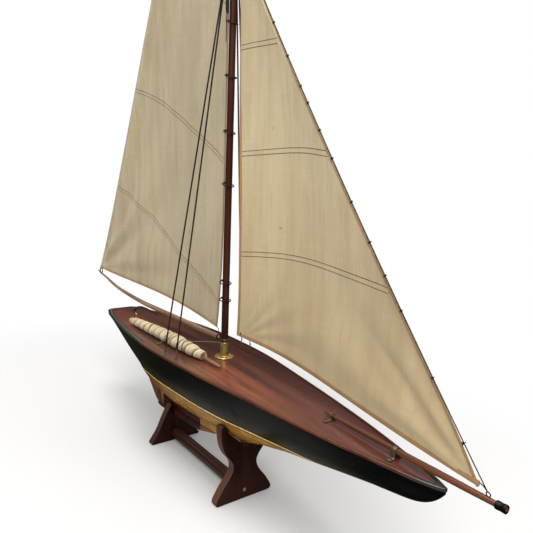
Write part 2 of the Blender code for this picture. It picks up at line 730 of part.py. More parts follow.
# x, z, radius of the tiller forward of the rudder stock
TILLER = (
    (-0.3760, 0.2830, 0.0029), (-0.3600, 0.2885, 0.0028), (-0.3400, 0.2915, 0.0027),
    (-0.3150, 0.2925, 0.0026), (-0.2880, 0.2915, 0.0025), (-0.2680, 0.2915, 0.0028),
    (-0.2580, 0.2920, 0.0036), (-0.2530, 0.2922, 0.0022),
)


def build_rudder_trunk():
    """The tube through the hull that the stock turns in."""
    top = RUDDER_HEAD + STOCK_DOWN * 0.0010
    low = RUDDER_HEAD + STOCK_DOWN * 0.1290
    tube("rudder_trunk", TRUNK_BORE, TRUNK_R, 0.0, (low - top).length, BRASS, along(top, low))


def build_rudder_stock():
    points = [STOCK_TOP, RUDDER_HEAD, (STOCK_TOP + STOCK_BOTTOM) / 2, STOCK_BOTTOM]
    return rod("rudder_stock", points, STOCK_R, BRASS, resolution=3)


def build_rudder_blade():
    edge = RUDDER_HEEL - STOCK_FORE * (STOCK_R + GAP)
    foot = edge - STOCK_DOWN * 0.0062
    head = edge - STOCK_DOWN * 0.1140
    outline = [(foot.x, foot.z), *BLADE_EDGE, (head.x, head.z)]
    blade = as_mesh(board("rudder_blade", outline, "y", -BLADE_HALF_T, BLADE_HALF_T,
                          RUDDER_WOOD))
    round_edges(blade, 0.0009)
    return blade


def build_tiller():
    over = STOCK_TOP - STOCK_DOWN * (GAP + 0.0042)
    points = [over - STOCK_FORE * 0.0065, over - STOCK_FORE * 0.0045, over + STOCK_FORE * 0.0040]
    points += [(x, 0, z) for x, z, radius in TILLER]
    radii = [0.0030, 0.0040, 0.0036] + [radius for x, z, radius in TILLER]
    return rod("tiller", points, radii, RUDDER_WOOD)


# ---------------------------------------------------------------- boom and mast hoops
# x, z, radius
BOOM = (
    (0.0480, BOOM_Z, 0.0056), (-0.040, 0.3076, 0.0065), (-0.160, 0.3064, 0.0063),
    (-0.240, 0.3058, 0.0059), (-0.328, 0.3055, 0.0055), (-0.400, 0.3074, 0.0050),
    (-0.455, 0.3106, 0.0046), (-0.506, 0.3140, 0.0041), (-0.560, 0.3212, 0.0036),
    (-0.606, 0.3298, 0.0031), (-0.645, 0.3358, 0.0026), (-0.677, 0.3425, 0.0019),
)
# z, degrees by which the forward side droops
HOOPS = (
    (0.3930, 10.0), (0.6270, 20.0), (0.7290, 22.0), (0.8340, 24.0), (0.9330, 24.0),
    (1.2100, 18.0), (1.3600, 18.0), (1.5200, 18.0),
)


def build_gooseneck():
    """The eye that turns on the mast: a ring round the mast with a stem to the boom's end."""
    eye = tube("gooseneck", 0.0080, 0.0100, BOOM_Z - 0.0033, BOOM_Z + 0.0033, DARK_IRON,
               MAST_PLACE, steps=20)
    stem = drill("gooseneck_stem", (MAST_X - 0.0090, 0, BOOM_Z), (0.0483, 0, BOOM_Z), 0.0022, 10)
    boolean(eye, "UNION", stem)
    return eye


def build_mast_hoops():
    hoops = []
    for i, (z, droop) in enumerate(HOOPS, 1):
        tilt = math.radians(droop)
        forward = Vector((math.cos(tilt), 0, -math.sin(tilt)))
        hoops.append(wire_ring("mast_hoop_%d" % i, Vector((MAST_X - 0.0022, 0, z)), forward,
                               Vector((0, 1, 0)), radius=0.0114, wire=0.0008, count=14))
    return hoops


# ---------------------------------------------------------------- sails
SAIL_T = 0.0014
MAIN_TACK_Z, MAIN_HEAD_Z = 0.3290, 1.6500
# z, x of the mainsail's luff
luff_x = linear(((0.329, 0.0385), (0.360, 0.0430), (0.400, 0.0470), (0.460, 0.0520),
                 (0.540, 0.0545), (1.70, 0.0545)))
# share of the height, x, z
MAIN_LEECH = (
    (0.000, -0.6600, 0.3540), (0.125, -0.5790, 0.4900), (0.250, -0.4990, 0.6430),
    (0.400, -0.4060, 0.8270), (0.560, -0.2920, 1.0560), (0.700, -0.1870, 1.2500),
    (0.850, -0.0750, 1.4500), (1.000, 0.0440, 1.6500),
)
JIB_LEECH = (
    (0.00, 0.1065, 0.3275), (0.25, 0.1145, 0.5050), (0.50, 0.1070, 0.6900),
    (0.80, 0.0985, 0.9050), (1.00, 0.0935, 1.0300),
)
main_leech_x, main_leech_z = spline(MAIN_LEECH, 1), spline(MAIN_LEECH, 2)
jib_leech_x, jib_leech_z = spline(JIB_LEECH, 1), spline(JIB_LEECH, 2)
STAY_SAG = 0.0110
HANK_SHARES = (0.060, 0.355, 0.650, 0.870)    # places of the hanks along the jib stay


def sail(name, point_at, columns, rows):
    """An open surface given a thickness."""
    width = columns + 1
    verts = [point_at(i / columns, j / rows) for j in range(rows + 1) for i in range(width)]
    corners = [j * width + i for j in range(rows) for i in range(columns)]
    faces = [(k, k + 1, k + width + 1, k + width) for k in corners]
    mesh = bpy.data.meshes.new(name)
    mesh.from_pydata(verts, [], faces)
    mesh.shade_smooth()
    obj = add(name, mesh, CLOTH)
    solidify = obj.modifiers.new("cloth_thickness", "SOLIDIFY")
    solidify.thickness = SAIL_T
    solidify.offset = 0.0
    return obj


def main_point(across, up):
    """Point of the mainsail; across runs from luff to leech, up from foot to head."""
    luff_z = MAIN_TACK_Z + (MAIN_HEAD_Z - MAIN_TACK_Z) * up
    luff = Vector((luff_x(luff_z), 0, luff_z))
    leech = Vector((main_leech_x(up), 0, main_leech_z(up)))
    width = (luff - leech).length
    belly = 0.048 * width * math.sin(math.pi * across ** 0.85) * (0.95 - 0.35 * up)
    # the foot is stretched flatter, most of all near the clew
    foot = math.sin(math.pi * across) * (0.0275 - 0.031 * across * across)
    blend = smooth_step(up / 0.25)
    return luff.lerp(leech, across) + Vector((0, blend * belly + (1 - blend) * foot, 0))


def stay_point(share):
    """Point of the sagging jib stay, share of the way up."""
    sag = Vector((-0.81, 0, -0.58)) * STAY_SAG * 4 * share * (1 - share)
    return STAY_LOW.lerp(STAY_HIGH, share) + sag


def jib_point(across, up):
    """Point of the jib; across runs from the stay to the leech, up from foot to head."""
    # the tack corner stands a little way off the stay
    low = max(0.0, 1.0 - up / 0.12) ** 2
    luff = stay_point(0.0020 + 0.933 * up) + Vector((-0.0042 - 0.0080 * low, 0, -0.0006))
    leech = Vector((jib_leech_x(up), 0, jib_leech_z(up)))
    width = (luff - leech).length
    belly = 0.062 * width * math.sin(math.pi * across ** 0.9) * (1.0 - 0.30 * up)
    # the foot is cut flatter than the sail above it
    foot = 0.020 * math.sin(math.pi * across * across) + 0.006 * across
    blend = smooth_step(up / 0.30)
    return luff.lerp(leech, across) + Vector((0, blend * belly + (1 - blend) * foot, 0))


def build_jib_hanks():
    """Small rings round the jib stay."""
    side = Vector((0, 1, 0))
    hanks = []
    for i, share in enumerate(HANK_SHARES, 1):
        direction = (stay_point(share + 0.01) - stay_point(share - 0.01)).normalized()
        hanks.append(wire_ring("jib_hank_%d" % i, stay_point(share), side,
                               direction.cross(side).normalized(),
                               radius=0.0022, wire=0.0006, count=12))
    return hanks


# ---------------------------------------------------------------- spare sail rolled on its spar
# x, y, z, radius
ROLL = (
    (-0.2790, -0.0570, 0.2775, 0.0066), (-0.2640, -0.0570, 0.2790, 0.0086),
    (-0.2200, -0.0567, 0.2815, 0.0104), (-0.1600, -0.0562, 0.2835, 0.0122),
    (-0.0900, -0.0556, 0.2855, 0.0134), (-0.0200, -0.0545, 0.2857, 0.0138),
    (0.0040, -0.0537, 0.2855, 0.0124), (0.0120, -0.0535, 0.2855, 0.0123),
    (0.0250, -0.0530, 0.2845, 0.0126), (0.0520, -0.0505, 0.2828, 0.0104),
    (0.0680, -0.0490, 0.2813, 0.0092),
)
SPARE_SPAR_AFT = Vector((-0.0300, -0.0520, 0.2830))
SPARE_SPAR_TIP = Vector((0.1260, -0.0450, 0.2760))


def build_spare_sail():
    roll = as_mesh(rod("spare_sail_roll", [row[:3] for row in ROLL], [row[3] for row in ROLL],
                       ROLL_CLOTH, resolution=4))
    cut(roll, drill("spar_bore", SPARE_SPAR_AFT, SPARE_SPAR_TIP, 0.0038, 12))
    direction = (SPARE_SPAR_TIP - SPARE_SPAR_AFT).normalized()
    rod("spare_sail_spar",
        [SPARE_SPAR_AFT + direction * 0.0010, SPARE_SPAR_AFT.lerp(SPARE_SPAR_TIP, 0.6),
         SPARE_SPAR_TIP - direction * 0.003, SPARE_SPAR_TIP],
        [0.0033, 0.0032, 0.0030, 0.0018], SPAR_WOOD)
    wire_ring("spare_sail_tie", Vector((0.0080, -0.0536, 0.2855)), Vector((0, 1, 0)),
              Vector((0, 0, 1)), radius=0.01335, wire=0.0007, count=16, mat=ROLL_CLOTH)


# ---------------------------------------------------------------- cradle
PLATE_T, PLATE_X = 0.019, 0.150
PLATE_FACE = PLATE_X + PLATE_T / 2     # outer face of each plate
PLATE_BACK = PLATE_X - PLATE_T / 2     # face towards the other plate
STRETCHER_Z, STRETCHER_R = 0.0182, 0.0130
SLOT_Z = 0.0628                        # floor of the slot that holds the long keel
# y, z of the port half of each plate, from the floor up the outer side
FORE_PLATE_OUTER = [
    (0.0610, 0.0), (0.0650, 0.0016), (0.0664, 0.0055), (0.0650, 0.0120), (0.0600, 0.0205),
    (0.0490, 0.0370), (0.0385, 0.0500), (0.0318, 0.0610), (0.0286, 0.0700), (0.0286, 0.0780),
    (0.0322, 0.0865), (0.0396, 0.0960), (0.0470, 0.1060), (0.0527, 0.1175), (0.0564, 0.1305),
    (0.0586, 0.1450), (0.0592, 0.1540), (0.0590, 0.1600), (0.0576, 0.1646), (0.0556, 0.1664),
    (0.0534, 0.1658),
]
AFT_PLATE_HALF = [
    (0.0600, 0.0), (0.0632, 0.0014), (0.0640, 0.0046), (0.0600, 0.0100), (0.0530, 0.0200),
    (0.0470, 0.0290), (0.0400, 0.0430), (0.0345, 0.0560), (0.0282, 0.0690), (0.0226, 0.0800),
    (0.0184, 0.0870), (0.0152, 0.0918), (0.0130, 0.0934), (0.0114, 0.0928),
    (0.0102, 0.0905), (0.0097, 0.0860), (0.0092, 0.0760), (0.0092, SLOT_Z),
]


def rest_height(y):
    """Lower of the hull's heights at half-breadth y over the fore plate's two faces."""
    return min(linear(section(x, count=24)[2:])(y) for x in (PLATE_BACK, PLATE_FACE))


def fore_plate_outline():
    """The inner side follows the hull down to the keel."""
    inner = [(y, min(0.1656, rest_height(y) - 0.0008)) for y in (0.0516, 0.0495, 0.0470)]
    inner += [(y, min(rest_height(y) - 0.0015, 0.1211 + 0.96 * (y - 0.0106)))
              for y in (0.0430, 0.0360, 0.0290, 0.0220, 0.0160)]
    inner += [(0.0106, 0.1211), (0.0066, 0.1172), (0.0058, keel_line(PLATE_BACK) - 0.0010)]
    return mirrored(FORE_PLATE_OUTER + inner)


def build_stretcher():
    half = PLATE_BACK - GAP
    return turned("cradle_stretcher",
                  [(0, -half), (STRETCHER_R, -half), (STRETCHER_R, half), (0, half)], STAND_WOOD,
                  Matrix.Translation((0, 0, STRETCHER_Z)) @ Matrix.Rotation(math.pi / 2, 4, "Y"))


def build_cradle_end(tag, sign, outline, stretcher):
    """One plate, and the countersunk screw that holds it to the stretcher."""
    center = sign * PLATE_X
    plate = as_mesh(board("cradle_plate_" + tag, outline, "x", center - PLATE_T / 2,
                          center + PLATE_T / 2, STAND_WOOD))
    round_edges(plate, 0.0010)
    hole = drill("cradle_hole_" + tag, (sign * 0.110, 0, STRETCHER_Z),
                 (sign * 0.175, 0, STRETCHER_Z), 0.0024, 12)
    sink = drill("cradle_sink_" + tag, (sign * (PLATE_FACE - 0.0024), 0, STRETCHER_Z),
                 (sign * (PLATE_FACE + 0.0008), 0, STRETCHER_Z), 0.0022, 16, 0.0052)
    cut(plate, hole, sink)
    cut(stretcher, hole)
    profile = [(0, 0.1140), (0.0019, 0.1145), (0.0019, PLATE_FACE - 0.0021),
               (0.0038, PLATE_FACE - 0.0003), (0, PLATE_FACE - 0.0003)]
    turn = Matrix.Rotation(sign * math.pi / 2, 4, "Y")
    turned("cradle_screw_" + tag, profile, BRASS,
           Matrix.Translation((0, 0, STRETCHER_Z)) @ turn, steps=12)


# ---------------------------------------------------------------- build
keel_bolt_holes = [drill("bolt_hole_" + tag, (x, 0, 0.040), (x, 0, 0.150), 0.0023, 12)
                   for tag, x in KEEL_BOLTS]
build_hull(keel_bolt_holes)
build_ballast(keel_bolt_holes)
build_keel_bolts()
build_sternpost()
build_rudder_shoe()
build_deck()
build_gunwale()
build_deck_beams()
build_mast_step()
build_mast()
build_mast_tube()
build_flange_screws()
build_hounds_band()
build_mast_truck()
build_shrouds()
build_bowsprit()
build_rudder_trunk()
build_spare_sail()

rudder_pieces = [build_rudder_stock(), build_rudder_blade(), build_tiller()]
main_pieces = [spar("boom", BOOM, resolution=3), build_gooseneck(),
               sail("mainsail", main_point, columns=8, rows=10)] + build_mast_hoops()
jib_pieces = [rod("jib_stay", [stay_point(k / 12) for k in range(13)], 0.0008, CORD,
                  resolution=1),
              sail("jib_sail", jib_point, columns=8, rows=8)] + build_jib_hanks()

cradle_bar = build_stretcher()
build_cradle_end("fore", 1.0, fore_plate_outline(), cradle_bar)
build_cradle_end("aft", -1.0, mirrored(AFT_PLATE_HALF), cradle_bar)


# ---------------------------------------------------------------- what moves with what
def carrier(name, place, children):
    """An empty at the given place that carries the children, which stay where they are."""
    empty = add(name, None, matrix=place)
    bpy.context.view_layer.update()
    for child in children:
        child.parent = empty
        child.matrix_parent_inverse = empty.matrix_world.inverted()
    return empty


def loose(collection):
    return [obj for obj in collection.objects if obj.parent is None]


carrier("rudder_axis", along(RUDDER_HEEL, RUDDER_HEAD), rudder_pieces)
carrier("main_axis", Matrix.Translation((MAST_X, 0, BOOM_Z)), main_pieces)
carrier("jib_axis", along(STAY_LOW, STAY_HIGH), jib_pieces)
carrier("yacht_frame", Matrix.Identity(4),
        [obj for obj in loose(parts) if not obj.name.startswith("cradle_")])
yacht_model = carrier("yacht_model", Matrix.Identity(4), loose(parts) + loose(cutters))
yacht_model.location = (-ORIGIN_X, 0, 0)
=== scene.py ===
"""A model sailing yacht on its wooden cradle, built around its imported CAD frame.

x runs from the stern to the bow, y to port and z up from the floor, all in metres. Shapes are
drawn from the middle of the cradle, and SHIFT carries every finished piece to the frame.
"""

import json
import math

import bmesh
import bpy
from mathutils import Matrix, Vector, noise

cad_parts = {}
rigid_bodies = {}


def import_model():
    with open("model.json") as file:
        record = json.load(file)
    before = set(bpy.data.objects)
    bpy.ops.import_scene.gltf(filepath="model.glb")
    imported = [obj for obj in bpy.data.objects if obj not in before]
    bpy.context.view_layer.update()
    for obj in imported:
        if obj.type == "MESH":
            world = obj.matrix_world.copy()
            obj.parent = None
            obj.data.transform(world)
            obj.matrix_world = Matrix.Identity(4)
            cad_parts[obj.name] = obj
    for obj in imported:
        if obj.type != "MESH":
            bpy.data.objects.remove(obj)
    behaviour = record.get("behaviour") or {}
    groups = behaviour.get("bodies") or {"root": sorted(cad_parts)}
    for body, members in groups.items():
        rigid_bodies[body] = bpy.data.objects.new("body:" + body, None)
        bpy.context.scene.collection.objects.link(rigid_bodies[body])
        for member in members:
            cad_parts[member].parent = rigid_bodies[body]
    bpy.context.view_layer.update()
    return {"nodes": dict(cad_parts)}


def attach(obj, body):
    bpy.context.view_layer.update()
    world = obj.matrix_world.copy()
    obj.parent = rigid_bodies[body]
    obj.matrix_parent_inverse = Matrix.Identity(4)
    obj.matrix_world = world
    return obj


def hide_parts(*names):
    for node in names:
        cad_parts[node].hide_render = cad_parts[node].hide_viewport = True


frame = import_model()

SHIFT = Matrix.Translation((-0.008935, 0.0, 0.0))
GAP = 0.0003  # clearance between touching pieces
TAU = 2 * math.pi
ACROSS, UP = Vector((0, 1, 0)), Vector((0, 0, 1))

home = bpy.data.collections.new("yacht_visual")
bpy.context.scene.collection.children.link(home)
workshop = bpy.data.collections.new("workshop")
bpy.context.scene.collection.children.link(workshop)


# ================================================================ curves
def spline(rows, column=1):
    """A natural cubic spline through rows whose first number rises."""
    xs = [row[0] for row in rows]
    ys = [row[column] for row in rows]
    count = len(xs)
    gaps = [xs[i + 1] - xs[i] for i in range(count - 1)]
    slopes = [(ys[i + 1] - ys[i]) / gaps[i] for i in range(count - 1)]
    # tridiagonal system for the second derivatives, which are zero at both ends
    upper = [0.0] + gaps[1:]
    middle, right, bends = [1.0] * count, [0.0] * count, [0.0] * count
    for i in range(1, count - 1):
        weight = gaps[i - 1] / middle[i - 1]
        middle[i] = 2.0 * (gaps[i - 1] + gaps[i]) - weight * upper[i - 1]
        right[i] = 6.0 * (slopes[i] - slopes[i - 1]) - weight * right[i - 1]
    for i in range(count - 2, 0, -1):
        bends[i] = (right[i] - upper[i] * bends[i + 1]) / middle[i]

    def at(x):
        x = min(max(x, xs[0]), xs[-1])
        i = 0
        while i < count - 2 and x > xs[i + 1]:
            i += 1
        gap, past, left = gaps[i], x - xs[i], xs[i + 1] - x
        return (bends[i] * left ** 3 + bends[i + 1] * past ** 3) / (6 * gap) \
            + (ys[i] / gap - bends[i] * gap / 6) * left \
            + (ys[i + 1] / gap - bends[i + 1] * gap / 6) * past

    return at


def linear(table):
    def at(x):
        if x <= table[0][0]:
            return table[0][1]
        for (x0, y0), (x1, y1) in zip(table, table[1:]):
            if x <= x1:
                return y0 + (y1 - y0) * (x - x0) / (x1 - x0)
        return table[-1][1]
    return at


def clamped(value):
    return min(1.0, max(0.0, value))


def smooth(value):
    value = clamped(value)
    return value * value * (3 - 2 * value)


def mix(start, end, part):
    return start + (end - start) * part


# ================================================================ lines of the yacht
# x, half beam, sheer height, bottom height
LINES = (
    (-0.492, 0.0300, 0.2545, 0.2400), (-0.489, 0.0360, 0.2545, 0.2380),
    (-0.480, 0.0425, 0.2548, 0.2340), (-0.460, 0.0495, 0.2552, 0.2265),
    (-0.420, 0.0595, 0.2562, 0.2110), (-0.360, 0.0715, 0.2577, 0.1870),
    (-0.300, 0.0820, 0.2590, 0.1640), (-0.250, 0.0895, 0.2600, 0.1450),
    (-0.200, 0.0955, 0.2609, 0.1280), (-0.150, 0.0998, 0.2616, 0.1160),
    (-0.100, 0.1022, 0.2620, 0.1110), (-0.050, 0.1026, 0.2622, 0.1115),
    (0.000, 0.1015, 0.2622, 0.1140), (0.050, 0.0993, 0.2621, 0.1165),
    (0.100, 0.0953, 0.2617, 0.1198), (0.150, 0.0893, 0.2609, 0.1245),
    (0.200, 0.0822, 0.2598, 0.1358), (0.250, 0.0750, 0.2585, 0.1478),
    (0.300, 0.0680, 0.2570, 0.1601), (0.350, 0.0605, 0.2554, 0.1694),
    (0.400, 0.0525, 0.2537, 0.1796), (0.450, 0.0435, 0.2519, 0.1893),
    (0.500, 0.0332, 0.2499, 0.1982), (0.550, 0.0220, 0.2477, 0.2062),
    (0.580, 0.0148, 0.2463, 0.2147), (0.597, 0.0092, 0.2456, 0.2251),
    (0.607, 0.0048, 0.2452, 0.2349), (0.6125, 0.0016, 0.2450, 0.2420))
half_beam, sheer, bottom = (spline(LINES, column) for column in (1, 2, 3))
# x, power of the section curve
fullness = linear((
    (-0.492, 0.50), (-0.300, 0.46), (-0.200, 0.49), (-0.100, 0.51), (0.0, 0.53), (0.100, 0.54),
    (0.200, 0.56), (0.300, 0.60), (0.400, 0.64), (0.500, 0.64), (0.6125, 0.55)))
# x, how far the section is drawn in beside the keel
hollow = linear((
    (-0.300, 0.0), (-0.200, 0.20), (-0.100, 0.35), (0.0, 0.50), (0.200, 0.50), (0.300, 0.30),
    (0.420, 0.0)))
# x, height of the underside of the keel
keel_line = linear((
    (-0.1960, 0.0618), (-0.1500, 0.0637), (-0.1000, 0.0664), (-0.0200, 0.0745), (0.0500, 0.0938),
    (0.1000, 0.1068), (0.1500, 0.1180), (0.2000, 0.1345), (0.2150, 0.1390)))
STERN_X, STEM_X = -0.492, 0.6125
KEEL_AFT, KEEL_FORE, KEEL_HALF, LEAD_NOSE = -0.1955, 0.2050, 0.0082, 0.0520
POST_X = KEEL_AFT - 0.0009
SHELL = 0.0068
GUNWALE_H, GUNWALE_W, DECK_T, DECK_CAMBER = 0.0056, 0.0046, 0.0040, 0.0060
RUDDER_HEAD, RUDDER_HEEL = Vector((-0.3860, 0.0, 0.2660)), Vector((-0.2045, 0.0, 0.0640))
STOCK_R, TRUNK_R, TRUNK_BORE, SHOE_TOP = 0.0028, 0.0050, 0.0034, 0.0658
STOCK_DOWN = (RUDDER_HEEL - RUDDER_HEAD).normalized()
STOCK_AHEAD = Vector((-STOCK_DOWN.z, 0, STOCK_DOWN.x))  # square to the stock, towards the bow
MAST_X, MAST_TOP, HOUNDS_Z, BOOM_Z = 0.070, 1.710, 1.060, 0.3095
AT_MAST = Matrix.Translation((MAST_X, 0, 0))
SAIL_T = 0.0014
PLATE_T, PLATE_X = 0.019, 0.150
STRETCHER_Z, STRETCHER_R = 0.0182, 0.0130
SLOT_Z = 0.0628


def lead_top(x):
    return 0.0790 + (x + 0.195) * 0.0745


def keel_half(x):
    """Half the keel's thickness, which tapers over its fore end."""
    return 0.0020 + (KEEL_HALF - 0.0020) * clamped((KEEL_FORE - x) / 0.15)


def camber(x, y):
    beam = half_beam(x)
    return DECK_CAMBER * (beam / 0.1) ** 1.5 * (1.0 - min(1.0, abs(y) / max(beam, 1e-4)) ** 2)


def deck_top(x, y=0.0):
    return sheer(x) + GAP + DECK_T + camber(x, y)


def section(x, count):
    """The hull's half outline at x as (y, z) rows from the keel up to the sheer."""
    beam, sheer_z, bottom_z = half_beam(x), sheer(x), bottom(x)
    keel_z, half = bottom_z - 0.0006, 0.0012
    if KEEL_AFT - 0.0001 <= x <= KEEL_FORE:
        keel_z, half = min(max(keel_line(x), lead_top(x)), keel_z), keel_half(x)
    root_z = bottom_z + 0.0002
    half = min(half, beam * 0.5)
    root = min(half * 1.25, beam * 0.6)
    rows = [(half * 0.8, keel_z),
            (half, keel_z + min(0.0016, 0.3 * (root_z - keel_z))),
            (mix(half, root, 0.35), mix(keel_z, root_z, 0.55)),
            (root, root_z)]
    for k in range(1, count + 1):
        part = (k / count) ** 1.55
        drawn_in = 1.0 - hollow(x) * math.exp(-part / 0.08)
        rows.append((root + (beam - root) * part ** fullness(x) * drawn_in,
                     root_z + (sheer_z - root_z) * part))
    return rows


# ================================================================ shader nodes
def srgb(*channels):
    return tuple((v / 255 / 12.92) if v / 255 <= 0.04045 else ((v / 255 + 0.055) / 1.055) ** 2.4
                 for v in channels)


def shaded(color, factor):
    return tuple(channel * factor for channel in color)


def lengthwise(axis, along, across):
    """A noise stretch with one scale along an axis and another across it."""
    return tuple(along if name == axis else across for name in "xyz")


class Nodes:
    """A short way to write the nodes of a tree."""

    def __init__(self, tree):
        self.tree = tree

    def new(self, kind, **settings):
        node = self.tree.nodes.new(kind)
        for key, value in settings.items():
            setattr(node, key, value)
        return node

    def link(self, source, target):
        self.tree.links.new(source, target)

    def feed(self, socket, value):
        if isinstance(value, bpy.types.NodeSocket):
            self.link(value, socket)
        elif isinstance(value, tuple):
            socket.default_value = (*value, 1.0)
        else:
            socket.default_value = value

    def split(self, vector):
        node = self.new("ShaderNodeSeparateXYZ")
        self.link(vector, node.inputs[0])
        return tuple(node.outputs)

    def math(self, operation, *values, clamp=False):
        node = self.new("ShaderNodeMath", operation=operation, use_clamp=clamp)
        for i, value in enumerate((*values, 0.0, 0.0)[:3]):
            self.feed(node.inputs[i], value)
        return node.outputs[0]

    def multiply(self, result, *others):
        for other in others:
            result = self.math("MULTIPLY", result, other)
        return result

    def add(self, result, *others):
        for other in others:
            result = self.math("ADD", result, other)
        return result

    def offset(self, value, middle, scale):
        """How far a value is from a middle, scaled."""
        return self.multiply(self.math("SUBTRACT", value, middle), scale)

    def ramp(self, value, over, to=(0.0, 1.0), soft=True):
        """Maps the range 'over' on the range 'to'."""
        kind = "SMOOTHSTEP" if soft else "LINEAR"
        node = self.new("ShaderNodeMapRange", interpolation_type=kind)
        for i, number in enumerate((value, *over, *to)):
            self.feed(node.inputs[i], number)
        return node.outputs[0]

    def blend(self, factor, first, second):
        node = self.new("ShaderNodeMix", data_type="RGBA", blend_type="MIX")
        for i, value in ((0, factor), (6, first), (7, second)):
            self.feed(node.inputs[i], value)
        return node.outputs[2]

    def tint(self, color, other, by, over, amount=1.0):
        """Turns a colour towards another as 'by' crosses the range 'over'."""
        return self.blend(self.ramp(by, over, (0.0, amount)), color, other)


class Shading(Nodes):
    """A material written in object coordinates."""

    def __init__(self, name):
        self.material = bpy.data.materials.new(name)
        self.material.use_nodes = True
        super().__init__(self.material.node_tree)
        self.bsdf = self.tree.nodes["Principled BSDF"]
        self.coord = self.tree.nodes.new("ShaderNodeTexCoord")
        self.place = self.coord.outputs["Object"]

    def axes(self):
        return self.split(self.place)

    def noise(self, scale, stretch=None, detail=4.0, rough=0.5, distortion=0.0, shift=(0, 0, 0)):
        vector = self.place
        if stretch:
            mapping = self.new("ShaderNodeMapping")
            mapping.inputs["Scale"].default_value = stretch
            mapping.inputs["Location"].default_value = shift
            self.link(self.place, mapping.inputs["Vector"])
            vector = mapping.outputs[0]
        node = self.new("ShaderNodeTexNoise")
        for name, value in (("Scale", scale), ("Detail", detail), ("Roughness", rough),
                            ("Distortion", distortion), ("Vector", vector)):
            self.feed(node.inputs[name], value)
        return node.outputs[0]

    def bump(self, height, strength, distance):
        node = self.new("ShaderNodeBump")
        node.inputs["Strength"].default_value = strength
        node.inputs["Distance"].default_value = distance
        self.link(height, node.inputs["Height"])
        self.link(node.outputs[0], self.bsdf.inputs["Normal"])

    def finish(self, color, rough, metal=0.0, coat=0.0, coat_rough=0.05, specular=0.5,
               sheen=0.0):
        for name, value in (
                ("Base Color", color), ("Roughness", rough), ("Metallic", metal),
                ("Coat Weight", coat), ("Coat Roughness", coat_rough), ("IOR", 1.45),
                ("Specular IOR Level", specular), ("Sheen Weight", sheen)):
            self.feed(self.bsdf.inputs[name], value)
        return self.material


# ================================================================ materials
def wood(name, dark, mid, light, along="x", *, grain, rough, coat, coat_rough=0.08, blotch=0.35,
         specular=0.5, wear=None):
    """Varnished wood: long figure, fine pores and slow colour drift along one axis."""
    mat = Shading(name)
    dark = srgb(*dark)
    figure = mat.noise(grain, lengthwise(along, 0.05, 1), detail=6.0, rough=0.55, distortion=0.8)
    pores = mat.noise(grain * 9, lengthwise(along, 0.03, 1.6), detail=3.0, rough=0.6)
    drift = mat.noise(6.0, lengthwise(along, 0.4, 1), detail=2.0)
    color = mat.tint(dark, srgb(*mid), by=figure, over=(0.32, 0.68))
    color = mat.tint(color, srgb(*light), by=drift, over=(0.45, 0.75), amount=blotch)
    # for the deck, this also paints in light and sky reflection
    if wear:
        color = wear(mat, color, figure)
    color = mat.tint(color, shaded(dark, 0.45), by=pores, over=(0.52, 0.70), amount=0.45)
    height = mat.add(mat.multiply(pores, -0.4), mat.multiply(figure, 0.5))
    mat.bump(height, strength=0.15, distance=0.0006)
    gloss = mat.ramp(drift, over=(0.3, 0.7), to=(rough * 0.8, rough * 1.25))
    return mat.finish(color, gloss, coat=coat, coat_rough=coat_rough, specular=specular)


def deck_wear_and_sheen(mat, color, figure):
    x, y, _ = mat.axes()
    # the boards along the starboard side are lighter ahead of the mast
    lighter_band = mat.multiply(
        mat.ramp(x, over=(0.02, 0.12)), mat.ramp(x, over=(0.40, 0.24)),
        mat.ramp(y, over=(-0.008, -0.034)), mat.ramp(figure, over=(0.30, 0.62), to=(0.25, 0.85)))
    color = mat.blend(lighter_band, color, srgb(130, 69, 44))
    # painted reflection: a lighter, greyer tone towards the bow and the stern stands in for the
    # varnish's sky sheen
    scuffs = mat.noise(210.0, (0.35, 1, 1), rough=0.65)
    dull_and_sheen = mat.math("MAXIMUM", mat.ramp(x, over=(0.20, 0.40), to=(0.0, 0.38)),
                    mat.ramp(x, over=(-0.16, -0.34), to=(0.0, 0.40)))
    color = mat.blend(dull_and_sheen, color, srgb(116, 68, 57))
    scuffed = mat.multiply(mat.ramp(scuffs, over=(0.62, 0.70)), 0.35)
    return mat.blend(scuffed, color, srgb(158, 122, 104))


DECK_WOOD_M = wood("deck_mahogany", (58, 27, 19), (92, 50, 36), (142, 82, 50), grain=42.0,
                   rough=0.34, coat=0.80, coat_rough=0.10, blotch=0.65, wear=deck_wear_and_sheen)
MAST_WOOD_M = wood("mast_mahogany", (38, 14, 4), (64, 25, 8), (86, 37, 13), "z", grain=90.0,
                   rough=0.42, coat=0.06, specular=0.25)
SPAR_WOOD_M = wood("spar_mahogany", (104, 76, 58), (146, 114, 90), (172, 140, 114), grain=80.0,
                   rough=0.38, coat=0.30)
SPRIT_WOOD_M = wood("bowsprit_mahogany", (66, 34, 18), (100, 58, 33), (124, 77, 46), grain=80.0,
                    rough=0.36, coat=0.25)
PALE_WOOD_M = wood("inner_pine", (140, 104, 66), (178, 140, 96), (196, 160, 116), grain=50.0,
                   rough=0.6, coat=0.0)
TILLER_WOOD_M = wood("tiller_mahogany", (62, 28, 18), (98, 50, 32), (126, 70, 46), grain=90.0,
                     rough=0.35, coat=0.4)


